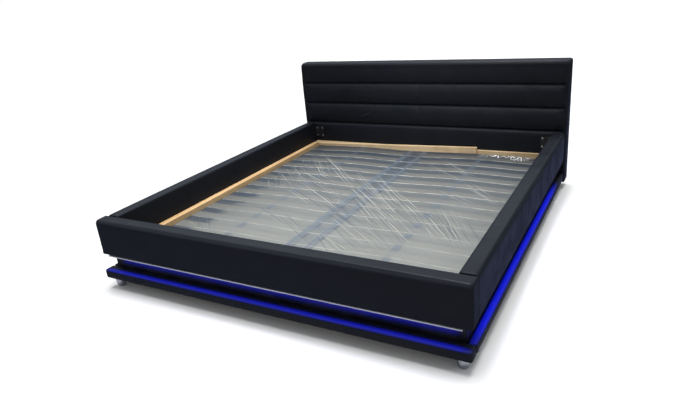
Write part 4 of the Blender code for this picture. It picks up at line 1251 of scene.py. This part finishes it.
class BED_OT_feet(bpy.types.Operator):
    """Makes the chrome feet with their plastic glides"""

    bl_idname = "bed.feet"
    bl_label = "Feet"

    SIDES = 56
    GLIDE_HEIGHT = 0.004
    GLIDE_RADIUS = 0.0145
    FLANGE_HEIGHT = 0.006
    FLANGE_SHARE = 0.84
    BOWL_STEPS = 16
    BOWL_FULLNESS = 0.75
    SHADOW_GAP = 0.0004
    GLIDE_INSET = 0.0012
    GLIDE_EASE = 0.0008

    def execute(self, context):
        for spot in ("front", "side", "rear"):
            for side, _ in SIDES:
                self.make_foot(f"foot_{spot}_{side}")
        return {"FINISHED"}

    def make_foot(self, node):
        low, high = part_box(node)
        place = Vector(((low.x + high.x) / 2, (low.y + high.y) / 2, 0))
        radius = (high.x - low.x) / 2
        top = high.z
        shoulder = top - self.FLANGE_HEIGHT
        flange = self.FLANGE_SHARE * radius
        profile = [(0, top), (flange, top), (flange, shoulder + self.SHADOW_GAP)]
        for step in range(self.BOWL_STEPS + 1):
            angle = step / self.BOWL_STEPS * math.pi / 2
            across = max(math.cos(angle), 0.0) ** self.BOWL_FULLNESS
            down = math.sin(angle) ** self.BOWL_FULLNESS
            bowl = self.GLIDE_RADIUS + (radius - self.GLIDE_RADIUS) * across
            profile.append((bowl, self.GLIDE_HEIGHT + (shoulder - self.GLIDE_HEIGHT) * (1 - down)))
        profile.append((0, self.GLIDE_HEIGHT))
        mesh = turned_mesh(f"{node}_chrome", profile, place, self.SIDES)
        add_piece(f"{node}_chrome", mesh, "chrome", FRAME_BODY, "chrome", node)
        glide = self.GLIDE_RADIUS - self.GLIDE_INSET
        profile = [(0, self.GLIDE_HEIGHT), (glide, self.GLIDE_HEIGHT)]
        profile += [(glide, self.GLIDE_EASE), (glide - self.GLIDE_EASE, 0), (0, 0)]
        mesh = turned_mesh(f"{node}_glide", profile, place, self.SIDES)
        add_piece(f"{node}_glide", mesh, "black_plastic", FRAME_BODY, "black_plastic")


class BED_OT_corner_plates(bpy.types.Operator):
    """Makes the steel corner plates and their four pan-head screws each"""

    bl_idname = "bed.corner_plates"
    bl_label = "Corner plates"

    THICKNESS = 0.003
    SHOWN_WIDTH = 0.075
    SPACING_X = 0.047
    SPACING_Z = 0.058
    CORNER_RADIUS = 0.006
    SIDES = 24
    # A screw's head: its recess, its rings as (radius, height), and how far the first ones draw in to a cross
    RECESS_HEIGHT = 0.0016
    HEAD_RINGS = ((0.0016, 0.0014), (0.0022, 0.0025), (0.0042, 0.0021), (0.0062, 0.0009), (0.0062, 0.0001))
    CROSS_RINGS = 2
    CROSS_SHARE = 0.55

    def execute(self, context):
        for end, facing in (("head", -1), ("foot", 1)):
            for side, sign in SIDES:
                node = f"corner_plate_{end}_{side}"
                low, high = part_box(node)
                back = high.y if facing < 0 else low.y
                face = back + facing * self.THICKNESS
                outline = rounded_outline((low.x, high.x), (low.z, high.z), self.CORNER_RADIUS)
                span = sorted((back, face))
                plate = extruded_mesh(f"{node}_steel", outline, span)
                add_piece(f"{node}_steel", plate, "black_steel", FRAME_BODY, "black_steel", node)
                inner = min(abs(low.x), abs(high.x))
                middle = sign * (inner + self.SHOWN_WIDTH / 2)
                self.make_screws(f"{node}_screws", middle, (low.z + high.z) / 2, face, facing)
        return {"FINISHED"}

    def make_screws(self, name, x, z, face, facing):
        """Four domed heads, each with a cross recess drawn in by its rings."""
        bm = bmesh.new()
        for across in (-1, 1):
            for up in (-1, 1):
                centre = Vector((x + across * self.SPACING_X / 2, face, z + up * self.SPACING_Z / 2))
                self.add_head(bm, centre, facing)
        bmesh.ops.recalc_face_normals(bm, faces=bm.faces)
        add_piece(name, mesh_from(bm, name), "screw_steel", FRAME_BODY, "black_steel")

    def add_head(self, bm, centre, facing):
        rings = [[bm.verts.new(centre + Vector((0, facing * self.RECESS_HEIGHT, 0)))]]
        for step, (radius, height) in enumerate(self.HEAD_RINGS):
            ring = []
            for side in range(self.SIDES):
                angle = math.tau * side / self.SIDES
                reach = radius
                if step < self.CROSS_RINGS:
                    reach *= self.CROSS_SHARE + (1 - self.CROSS_SHARE) * abs(math.cos(2 * angle))
                offset = Vector((math.cos(angle) * reach, facing * height, math.sin(angle) * reach))
                ring.append(bm.verts.new(centre + offset))
            rings.append(ring)
        skin(bm, rings)
        bm.faces.new(rings[-1])


class BED_OT_slat_base(bpy.types.Operator):
    """Makes the slatted base: tubes, plastic caps, sprung slats, webbing belts and middle legs"""

    bl_idname = "bed.slat_base"
    bl_label = "Slatted base"

    CAP_WIDTH = 0.062
    TUBE_WIDTH = 0.030
    TUBE_HEIGHT = 0.025
    BELT_WIDTH = 0.040
    BELT_THICKNESS = 0.0015
    BELT_OFFSET = 0.0217
    BELT_SAG = 0.0012
    FUSE_DEPTH = 0.0005
    TUBE_RADIUS = 0.003
    CAP_BEVEL = 0.0006
    SLAT_RADIUS = 0.0028
    SLAT_STEPS = 16
    # A middle leg's neck, as (radius, drop from its top), and its foot, as (radius, height)
    LEG_SIDES = 40
    LEG_FLANGE_HEIGHT = 0.004
    LEG_NECK = ((0.0175, LEG_FLANGE_HEIGHT), (0.016, 0.007))
    LEG_FOOT = ((0.016, 0.012), (0.0235, 0.010), (0.025, 0.008), (0.025, 0.0015), (0.0235, 0), (0, 0))

    def execute(self, context):
        rows = find_slat_rows()
        self.last_y = rows["last"]
        self.pitch = rows["pitch"]
        self.tube_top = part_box("slat_frame_left")[0].z + self.TUBE_HEIGHT
        slat_low, slat_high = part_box("slats_right")
        self.slat_bottom = self.tube_top - self.FUSE_DEPTH + CAP_WALL + PIECE_GAP
        self.camber = slat_high.z - self.slat_bottom - SLAT_THICKNESS
        self.slat_start = slat_low.x
        self.slat_end = slat_high.x
        for side, sign in SIDES:
            self.make_tube(f"slat_frame_{side}", f"outer_tube_{side}", sign, outer=True)
            self.make_tube(f"slat_frame_middle_{side}", f"middle_tube_{side}", sign, outer=False)
            self.make_slats(side, sign)
        for end in ("head", "foot"):
            self.make_leg(f"middle_leg_{end}")
        return {"FINISHED"}

    def make_tube(self, node, name, sign, outer):
        low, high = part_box(node)
        reach = max(abs(low.x), abs(high.x)) if outer else self.middle_tube_reach()
        span = sorted((sign * reach, sign * (reach - self.TUBE_WIDTH)))
        outline = rounded_outline(span, (low.z, self.tube_top), self.TUBE_RADIUS)
        mesh = extruded_mesh(f"{name}_steel", outline, (low.y, high.y))
        add_piece(f"{name}_steel", mesh, "grey_steel", SLAT_BODY, "grey_steel", node)
        outward = 1 if outer else -1
        closed = (self.slat_end if outer else self.slat_start) + outward * (PIECE_GAP + CAP_WALL)
        self.make_caps(f"{name}_caps", sign * closed, sign * (closed - outward * CAP_LENGTH))

    def middle_tube_reach(self):
        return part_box("slat_frame_tie_head")[1].x + PIECE_GAP + self.TUBE_WIDTH

    def make_caps(self, name, closed, mouth):
        """Plastic caps: a C that is open towards its slat, with a stop rib on its back."""
        bottom = self.tube_top
        inner = CAP_WALL if mouth > closed else -CAP_WALL
        base = bottom - self.FUSE_DEPTH + CAP_WALL
        top = self.slat_bottom + SLAT_THICKNESS + PIECE_GAP
        outline = [
            (closed, bottom),
            (mouth, bottom),
            (mouth, base),
            (closed + inner, base),
            (closed + inner, top),
            (mouth, top),
            (mouth, top + CAP_WALL),
            (closed, top + CAP_WALL),
        ]
        span = (self.last_y - self.CAP_WIDTH / 2, self.last_y + self.CAP_WIDTH / 2)
        mesh = extruded_mesh(name, outline, span, self.CAP_BEVEL)
        caps = add_piece(name, mesh, "cap_plastic", SLAT_BODY, "black_plastic")
        repeat(caps, SLAT_COUNT, (0, self.pitch, 0))

    def rise(self, x):
        """How far a slat is sprung above its caps at this distance from the middle."""
        start = self.slat_start + CAP_LENGTH - CAP_WALL
        end = self.slat_end - CAP_LENGTH + CAP_WALL
        if not start < x < end:
            return 0.0
        return self.camber * math.sin(math.pi * (x - start) / (end - start))

    def make_slats(self, side, sign):
        start = self.slat_start
        end = self.slat_end
        level = CAP_LENGTH - CAP_WALL
        free = end - start - 2 * level
        steps = [start + level + free * step / self.SLAT_STEPS for step in range(self.SLAT_STEPS + 1)]
        outline = rounded_outline(
            (self.last_y - SLAT_WIDTH / 2, self.last_y + SLAT_WIDTH / 2),
            (self.slat_bottom, self.slat_bottom + SLAT_THICKNESS),
            self.SLAT_RADIUS,
        )

        def section(x):
            return [(sign * x, y, z + self.rise(x)) for y, z in outline]

        name = f"slats_{side}_beech"
        mesh = swept_mesh(name, [start, *steps, end], section)
        slats = add_piece(name, mesh, "beech_slat", SLAT_BODY, "beech", f"slats_{side}")
        repeat(slats, SLAT_COUNT, (0, self.pitch, 0))
        self.make_belt(side, sign)

    def make_belt(self, side, sign):
        """Webbing under the slats, drawn down on the head and foot tubes."""
        head_low, head_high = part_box("slat_frame_head")
        foot_low, foot_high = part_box("slat_frame_foot")
        middle = (self.slat_start + self.slat_end) / 2 + self.BELT_OFFSET
        half = self.BELT_WIDTH / 2
        high = self.slat_bottom + self.rise(middle + half) - self.BELT_THICKNESS - PIECE_GAP
        low = self.tube_top + PIECE_GAP
        path = [(foot_low.y, low), (foot_high.y, low)]
        for step in range(SLAT_COUNT):
            y = self.last_y + step * self.pitch
            path.append((y, high))
            if step < SLAT_COUNT - 1:
                path.append((y + self.pitch / 2, high - self.BELT_SAG))
        path += [(head_low.y, low), (head_high.y, low)]

        def section(place):
            y, z = place
            top = z + self.BELT_THICKNESS
            inner, outer = sorted((sign * (middle - half), sign * (middle + half)))
            return [(inner, y, z), (outer, y, z), (outer, y, top), (inner, y, top)]

        mesh = swept_mesh(f"belt_{side}", path, section)
        add_piece(f"belt_{side}", mesh, "webbing", SLAT_BODY, "grey_steel")

    def make_leg(self, node):
        low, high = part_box(node)
        place = Vector(((low.x + high.x) / 2, (low.y + high.y) / 2, 0))
        flange = (high.x - low.x) / 2
        top = high.z
        profile = [(0, top), (flange, top), (flange, top - self.LEG_FLANGE_HEIGHT)]
        profile += [(radius, top - drop) for radius, drop in self.LEG_NECK]
        profile += self.LEG_FOOT
        mesh = turned_mesh(f"{node}_steel", profile, place, self.LEG_SIDES)
        add_piece(f"{node}_steel", mesh, "grey_steel", SLAT_BODY, "grey_steel", node)


class BED_OT_film(bpy.types.Operator):
    """Lays the creased clear film on the slats"""

    bl_idname = "bed.film"
    bl_label = "Protective film"

    GAP_SAG = 0.0032
    CLEARANCE = 0.0006
    SAG_FULLNESS = 0.7
    EDGE_RISE = 0.004
    EDGE_REACH = 0.008
    FOLD_WIDTH = 0.0026
    FOLD_BOW = 0.004
    FULL_MARK_HEIGHT = 0.0026
    TUBE_X = ((-0.095, -0.058), (0.018, 0.050))
    TIE_Y = (0.50, -0.49)
    TIE_HALF_WIDTH = 0.015
    BAND_SOFTNESS = 0.006
    BELT_X = ((-0.490, -0.450), (0.452, 0.492))
    # Painted shadow streaks at the left edge: where they end, how ragged and how sharp that is, and their grid
    STREAK_END = -0.655
    STREAK_RAGGED = 0.16
    STREAK_FADE = 0.07
    STREAK_COLUMNS = 40
    STREAK_ROWS = (2, 5, 9)
    STREAK_SEED = 3
    CREASE_SEED = 5
    FOOT_OFFSET = 1.7
    # Bundles of creases: start, end, spread, count, width, and the share of them that get a painted highlight
    # rather than painted shade
    BUNDLES = (
        ((-0.78, 0.80), (-0.16, 0.17), 0.09, 9, 0.0028, 0.9),
        ((-0.67, 0.70), (-0.09, 0.12), 0.05, 5, 0.0030, 1.0),
        ((-0.30, 0.33), (0.18, -0.14), 0.10, 7, 0.0030, 0.9),
        ((-0.35, 0.50), (0.33, -0.21), 0.05, 4, 0.0030, 1.0),
        ((-0.12, 0.41), (0.56, -0.35), 0.06, 6, 0.0032, 1.0),
        ((0.02, 0.10), (0.44, -0.36), 0.30, 26, 0.0025, 0.55),
        ((0.20, -0.05), (0.62, -0.46), 0.26, 20, 0.0028, 0.6),
        ((0.45, -0.08), (0.74, -0.46), 0.24, 22, 0.0025, 0.5),
        ((0.56, -0.08), (0.80, -0.48), 0.14, 14, 0.0024, 0.6),
        ((0.06, -0.42), (0.40, -0.70), 0.30, 20, 0.0026, 0.5),
        ((-0.61, 0.25), (-0.09, -0.10), 0.10, 12, 0.0026, 0.4),
        ((-0.55, 0.16), (0.00, -0.24), 0.14, 14, 0.0026, 0.25),
        ((-0.22, -0.10), (0.24, -0.44), 0.16, 14, 0.0030, 0.2),
        ((-0.67, -0.25), (-0.14, -0.55), 0.03, 3, 0.0026, 0.0),
        ((-0.46, -0.29), (0.13, -0.71), 0.05, 4, 0.0028, 0.0),
        ((-0.80, -0.52), (-0.62, -0.72), 0.12, 7, 0.0024, 0.3),
        ((-0.845, 0.81), (-0.37, 0.22), 0.08, 7, 0.0028, 0.8),
        ((-0.62, 0.54), (-0.38, 0.22), 0.10, 8, 0.0028, 0.7),
        ((0.49, 0.40), (0.79, 0.10), 0.07, 8, 0.0028, 1.0),
        ((0.16, 0.76), (0.56, 0.38), 0.16, 7, 0.0026, 0.8),
        ((-0.80, 0.20), (-0.62, -0.06), 0.16, 14, 0.0024, 0.4),
        ((-0.84, 0.42), (-0.50, 0.08), 0.20, 22, 0.0024, 0.7),
        ((-0.70, 0.38), (-0.30, 0.14), 0.16, 14, 0.0024, 0.7),
        ((-0.60, 0.05), (-0.16, -0.24), 0.12, 12, 0.0024, 0.5),
        ((0.30, 0.30), (0.70, 0.02), 0.10, 6, 0.0024, 0.6),
    )
    # Pinched spots that creases run out of: hub, first and last heading in degrees, reach, count, and how
    # strong their painted glint is
    PINCHES = (
        ((-0.66, 0.34), -75, 20, 0.30, 26, 1.0),
        ((-0.74, 0.50), 60, 320, 0.10, 14, 1.2),
        ((-0.87, 0.62), -50, 30, 0.26, 10, 1.0),
        ((-0.87, -0.60), -40, 40, 0.20, 10, 1.0),
        ((0.73, 0.968), 180, 350, 0.095, 60, 10.0),
        ((0.66, 0.970), 190, 350, 0.075, 40, 10.0),
        ((0.57, 0.970), 190, 350, 0.065, 34, 9.0),
        ((0.49, 0.965), 190, 350, 0.075, 20, 6.0),
        ((-0.10, -0.10), 120, 330, 0.05, 9, 1.3),
    )

    def execute(self, context):
        film = context.scene.bed_film
        low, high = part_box("protective_film")
        counts = [round((high[axis] - low[axis]) / film.cell) + 1 for axis in range(2)]
        across = np.linspace(low.x, high.x, counts[0])
        along = np.linspace(low.y, high.y, counts[1])
        x, y = np.meshgrid(across, along)
        z = self.rest_height(x, y) + self.creases(x, y, film.fold_height)
        points = np.stack([x, y, z], axis=2).reshape(-1, 3)
        index = np.arange(counts[0] * counts[1]).reshape(counts[1], counts[0])
        corners = (index[:-1, :-1], index[:-1, 1:], index[1:, 1:], index[1:, :-1])
        faces = np.stack(corners, axis=2).reshape(-1, 4)
        name = "creased_film"
        mesh = bpy.data.meshes.new(name)
        mesh.from_pydata(points.tolist(), [], faces.tolist())
        mesh.shade_smooth()
        clear, tube = self.things_below(x, y)
        for mark, values in (("crease", self.marks), ("clear", clear), ("tube", tube)):
            attribute = mesh.attributes.new(mark, "FLOAT", "POINT")
            attribute.data.foreach_set("value", values.ravel().astype(np.float32))
        piece = add_piece(name, mesh, "clear_film", SLAT_BODY, "clear_film", "protective_film")
        return {"FINISHED"}

    def from_slat(self, y):
        """How far each place lies from the middle line of the nearest slat."""
        rows = find_slat_rows()
        nearest = np.clip(np.round((y - rows["last"]) / rows["pitch"]), 0, SLAT_COUNT - 1)
        return np.abs(y - rows["last"] - nearest * rows["pitch"])

    def in_gap(self, y):
        """0 on a slat, 1 in the middle of a gap."""
        half_slat = SLAT_WIDTH / 2
        half_gap = find_slat_rows()["pitch"] / 2 - half_slat
        return np.clip((self.from_slat(y) - half_slat) / half_gap, 0, 1)

    def rest_height(self, x, y):
        """The film on the slats: it follows their camber and sags a little between them."""
        slat_low, slat_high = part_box("slats_right")
        start = slat_low.x + CAP_LENGTH - CAP_WALL
        end = slat_high.x - CAP_LENGTH + CAP_WALL
        flat = slat_high.z - SLAT_CAMBER
        share = np.clip((np.abs(x) - start) / (end - start), 0, 1)
        cap_top = flat + PIECE_GAP + CAP_WALL
        top = np.maximum(flat + SLAT_CAMBER * np.sin(np.pi * share), cap_top) + self.CLEARANCE
        height = top - self.GAP_SAG * self.in_gap(y) ** self.SAG_FULLNESS
        to_edge = np.minimum(y - y.min(), y.max() - y)
        return height + self.EDGE_RISE * np.exp(-to_edge / self.EDGE_REACH)

    def things_below(self, x, y):
        """How much painted shade lies over the gaps, beside and between the tubes and belts and in streaks at
        the left edge, and how much the grey tubes, ties and belts show through, at each place.
        """
        gap = self.in_gap(y)
        rng = np.random.default_rng(self.STREAK_SEED)

        def band(value, low, high, soft=self.BAND_SOFTNESS):
            return np.clip((value - low) / soft, 0, 1) * np.clip((high - value) / soft, 0, 1)

        inner = (self.TUBE_X[0][1], self.TUBE_X[1][0])
        between = band(x, *inner, 0.003)
        far = np.clip((y + 0.15) / 1.0, 0, 1)
        tube = sum(band(x, *span) for span in self.TUBE_X) * (0.75 + 0.15 * far)
        half = self.TIE_HALF_WIDTH
        tube += sum(band(y, place - half, place + half) for place in self.TIE_Y) * between * 0.6
        for span in self.BELT_X:
            tube = np.maximum(tube, band(x, *span) * (0.12 + 0.55 * np.maximum(far, np.clip(2 * gap, 0, 1))))
        # Painted shadows beside the tubes and belts, and painted shade between the tubes that deepens towards
        # the head
        beside = sum(band(x, span[1] - 0.004, span[1] + 0.024, 0.008) for span in self.TUBE_X)
        by_belts = sum(band(x, span[1] - 0.010, span[1] + 0.006) for span in self.BELT_X)
        beside += 0.8 * by_belts * np.clip(2 * gap, 0, 1)
        shade = np.maximum(beside * (0.55 + 0.35 * gap), between * (0.26 + 0.70 * far))
        rows, columns = x.shape
        streaks = np.zeros_like(x)
        for step in self.STREAK_ROWS:
            coarse = rng.random((rows // step + 2, columns // self.STREAK_COLUMNS + 2))
            up = np.minimum(np.arange(rows) / step, coarse.shape[0] - 1.001)
            over = np.minimum(np.arange(columns) / self.STREAK_COLUMNS, coarse.shape[1] - 1.001)
            i, j = up.astype(int), over.astype(int)
            u, v = (up - i)[:, None], (over - j)[None, :]
            near = coarse[np.ix_(i, j)] * (1 - v) + coarse[np.ix_(i, j + 1)] * v
            distant = coarse[np.ix_(i + 1, j)] * (1 - v) + coarse[np.ix_(i + 1, j + 1)] * v
            streaks += (near * (1 - u) + distant * u) / len(self.STREAK_ROWS)
        # Painted shadow streaks in the gaps at the left edge, and painted shade over the gaps at the head
        end = self.STREAK_END + self.STREAK_RAGGED * (streaks - 0.5)
        ragged = np.clip((end - x) / self.STREAK_FADE, 0, 1)
        open_gap = np.clip(3.0 * gap - 0.15, 0, 1)
        streaked = ragged * open_gap * np.clip(0.66 + 0.5 * streaks, 0, 1)
        wide = open_gap * far**1.2 * np.clip(0.75 + 0.5 * streaks, 0, 1) * (1 - between)
        clear = np.maximum.reduce([shade, streaked, wide])
        return np.clip(clear, 0, 1), np.clip(tube, 0, 1)

    def creases(self, x, y, height):
        """Adds up every crease's height, and records for the material where a crease gets a painted highlight
        or painted shade.
        """
        rng = random.Random(self.CREASE_SEED)
        self.marks = np.zeros_like(x)
        total = np.zeros_like(x)
        for start, end, spread, count, width, lit in self.BUNDLES:
            start = np.array(start)
            run = np.array(end) - start
            side = np.array((-run[1], run[0])) / np.hypot(*run)
            for _ in range(count):
                shift = side * rng.uniform(-spread, spread) / 2
                reach = rng.uniform(0.45, 1.0)
                begin = rng.uniform(0, 1 - reach)
                first = start + run * begin + shift
                last = start + run * (begin + reach) + shift * rng.uniform(0.6, 1.3)
                sheen = 1 if rng.random() < lit else -1
                size = height * rng.uniform(0.3, 1.0)
                total += self.fold(x, y, first, last, width * rng.uniform(0.8, 1.4), size, sheen)
        for hub, first, last, reach, count, glint in self.PINCHES:
            for _ in range(count):
                heading = math.radians(rng.uniform(first, last))
                direction = np.array((math.cos(heading), math.sin(heading)))
                begin = np.array(hub) + direction * reach * rng.uniform(0.02, 0.15)
                end = np.array(hub) + direction * reach * rng.uniform(0.4, 1.0)
                sheen = glint if rng.random() < 0.6 else -1
                size = height * rng.uniform(0.2, 0.6)
                total += self.fold(x, y, begin, end, self.FOLD_WIDTH * rng.uniform(0.8, 1.4), size, sheen)
        self.marks = np.clip(self.marks, -1, 2)
        return total

    def fold(self, x, y, first, last, width, height, sheen):
        """One crease between two points, tapered and slightly bowed, with painted highlight and painted shade
        side by side along it.
        """
        run = last - first
        whole = np.hypot(*run)
        run = run / whole
        along = np.clip(((x - first[0]) * run[0] + (y - first[1]) * run[1]) / whole, 0, 1)
        across = (y - first[1]) * run[0] - (x - first[0]) * run[1]
        taper = np.sin(np.pi * along)
        bowed = across + self.FOLD_BOW * whole * taper
        taper = taper**0.6
        crest = np.exp(-((bowed / width) ** 2)) * taper
        foot = np.exp(-(((bowed + self.FOOT_OFFSET * width) / width) ** 2)) * taper
        strength = height / self.FULL_MARK_HEIGHT
        if sheen > 0:
            self.marks += strength * sheen * (0.62 * crest - 0.55 * foot)
        else:
            self.marks -= strength * (0.85 * crest - 0.20 * foot)
        return height * crest


class BED_OT_stage(bpy.types.Operator):
    """Sets the pale floor, the soft light and the camera"""

    bl_idname = "bed.stage"
    bl_label = "Stage"

    FLOOR_SIZE = 60.0
    FLOOR_DROP = 0.0002
    SENSOR_WIDTH = 36.0
    KEY_FROM = (-0.04, 0.13, 1.0)
    SOFTBOX_PLACE = (0.0, -0.1, 2.6)
    SOFTBOX_SIZE = 1.6
    FILL_PLACE = (0.25, -0.75, 1.95)
    FILL_TARGET = (0.0, 1.0, 0.55)
    FILL_SIZE = 1.1
    FLOOR_TONE = (0.90, 0.90, 0.90, 1.0)
    FLOOR_IN_GLOSS = (0.105, 0.120, 0.225, 1.0)
    FAR_FLOOR_IN_GLOSS = (0.030, 0.034, 0.044, 1.0)
    SKY_TONE = (0.97, 0.985, 1.0, 1.0)
    SKY_IN_GLOSS = (0.90, 1.0, 1.12, 1.0)

    def execute(self, context):
        scene = context.scene
        stage = scene.bed_stage
        self.make_floor()
        self.make_sky(scene, stage)
        self.make_key(stage)
        self.make_lamp("softbox", stage, stage.softbox_power, self.SOFTBOX_SIZE, self.SOFTBOX_PLACE)
        fill = self.make_lamp("fill", stage, stage.fill_power, self.FILL_SIZE, self.FILL_PLACE)
        aim = Vector(self.FILL_TARGET) - Vector(self.FILL_PLACE)
        fill.rotation_euler = aim.to_track_quat("-Z", "Y").to_euler()
        data = bpy.data.cameras.new("photo_camera")
        data.lens = stage.lens
        data.sensor_width = self.SENSOR_WIDTH
        camera = bpy.data.objects.new("photo_camera", data)
        camera.location = stage.camera_place
        camera.rotation_euler = stage.camera_turn
        scene.collection.objects.link(camera)
        scene.camera = camera
        scene.view_settings.view_transform = "Standard"
        return {"FINISHED"}

    def make_floor(self):
        bm = bmesh.new()
        bmesh.ops.create_grid(bm, x_segments=2, y_segments=2, size=self.FLOOR_SIZE)
        bmesh.ops.translate(bm, vec=(0, 0, -self.FLOOR_DROP), verts=bm.verts)
        floor = bpy.data.objects.new("floor", mesh_from(bm, "floor"))
        bpy.context.scene.collection.objects.link(floor)
        floor.data.materials.append(self.floor_material())

    def floor_material(self):
        """White to the camera and as light, but dim in the leather's gloss and through the film."""
        floor = Finish("pale_floor", Roughness=0.9, Specular_IOR_Level=0.1, Base_Color=self.FLOOR_TONE)
        rays = floor.outs(floor.add("LightPath"))
        away = floor.remap(rays["Ray Length"], 1.2, 4.5)
        dim_tone = floor.mix(away, self.FLOOR_IN_GLOSS, self.FAR_FLOOR_IN_GLOSS)
        dim = floor.out("BsdfDiffuse", {"Color": dim_tone})
        veiled = rays["Is Camera Ray"] * floor.math("MINIMUM", rays["Transparent Depth"], 1.0)
        mirrored = rays["Is Glossy Ray"] * floor.remap(rays["Ray Length"], 0.02, 0.25, 0.60, 1.0)
        dimmed = floor.math("MAXIMUM", mirrored, veiled)
        plain = Value(floor, floor.shader.outputs[0])
        mixed = floor.mix_shaders(dimmed, plain, dim)
        floor.feed(floor.tree.nodes["Material Output"].inputs["Surface"], mixed)
        return floor.material

    def make_sky(self, scene, stage):
        """White where the camera or glass sees it, a bluish sky that is bright high up and dark near the
        horizon in gloss, and softer as light.
        """
        world = bpy.data.worlds.new("studio")
        world.use_nodes = True
        scene.world = world
        sky = Graph(world.node_tree)
        light = world.node_tree.nodes["Background"]
        light.inputs["Color"].default_value = self.SKY_TONE
        light.inputs["Strength"].default_value = stage.sky_strength
        seen = sky.out("Background", {"Color": (1, 1, 1, 1), "Strength": 1.0})
        height = sky.axes(sky.out("TexCoord", None, "Generated"))["Z"]
        strength = sky.remap(height, 0.20, 0.52, 0.0, 1.2)
        mirrored = sky.out("Background", {"Color": self.SKY_IN_GLOSS, "Strength": strength})
        rays = sky.outs(sky.add("LightPath"))
        looked = sky.math("MAXIMUM", rays["Is Camera Ray"], rays["Is Transmission Ray"])
        plain = sky.mix_shaders(looked, Value(sky, light.outputs[0]), seen)
        mixed = sky.mix_shaders(rays["Is Glossy Ray"], plain, mirrored)
        sky.feed(world.node_tree.nodes["World Output"].inputs["Surface"], mixed)

    def make_lamp(self, name, stage, power, size, place):
        """A square lamp that faces down, narrow enough to leave the floor round the bed alone."""
        data = bpy.data.lights.new(name, "AREA")
        data.shape = "SQUARE"
        data.size = size
        data.energy = power
        data.spread = stage.softbox_spread
        lamp = bpy.data.objects.new(name, data)
        lamp.location = place
        bpy.context.scene.collection.objects.link(lamp)
        return lamp

    def make_key(self, stage):
        """A soft light as broad as a bright ceiling, even over the whole floor."""
        data = bpy.data.lights.new("key_light", "SUN")
        data.energy = stage.key_strength
        data.angle = stage.key_spread
        key = bpy.data.objects.new("key_light", data)
        key.rotation_euler = (-Vector(self.KEY_FROM)).to_track_quat("-Z", "Y").to_euler()
        bpy.context.scene.collection.objects.link(key)


class BED_PT_panel(bpy.types.Panel):
    """Lists the bed's steps and their sizes and colours"""

    bl_idname = "BED_PT_panel"
    bl_label = "Upholstered bed"
    bl_space_type = "VIEW_3D"
    bl_region_type = "UI"
    bl_category = "Bed"

    def draw(self, context):
        for name in SETTINGS:
            settings = getattr(context.scene, name)
            box = self.layout.box()
            for field in settings.__annotations__:
                box.prop(settings, field)
        for step in STEPS:
            self.layout.operator(step.bl_idname)


SETTINGS = {
    "bed_leather": BedLeatherSettings,
    "bed_wood": BedWoodSettings,
    "bed_light": BedLightSettings,
    "bed_film": BedFilmSettings,
    "bed_stage": BedStageSettings,
}
STEPS = (
    BED_OT_finishes,
    BED_OT_headboard_cover,
    BED_OT_rail_covers,
    BED_OT_ledge_covers,
    BED_OT_feet,
    BED_OT_corner_plates,
    BED_OT_slat_base,
    BED_OT_film,
    BED_OT_stage,
)


def register():
    for kind in (*SETTINGS.values(), *STEPS, BED_PT_panel):
        bpy.utils.register_class(kind)
    for name, kind in SETTINGS.items():
        setattr(bpy.types.Scene, name, PointerProperty(type=kind))


def unregister():
    for name in SETTINGS:
        delattr(bpy.types.Scene, name)
    for kind in reversed((*SETTINGS.values(), *STEPS, BED_PT_panel)):
        bpy.utils.unregister_class(kind)


def main():
    register()
    bpy.ops.bed.finishes()
    bpy.ops.bed.headboard_cover()
    bpy.ops.bed.rail_covers()
    bpy.ops.bed.ledge_covers()
    bpy.ops.bed.feet()
    bpy.ops.bed.corner_plates()
    bpy.ops.bed.slat_base()
    bpy.ops.bed.film()
    bpy.ops.bed.stage()


if __name__ == "__main__":
    main()
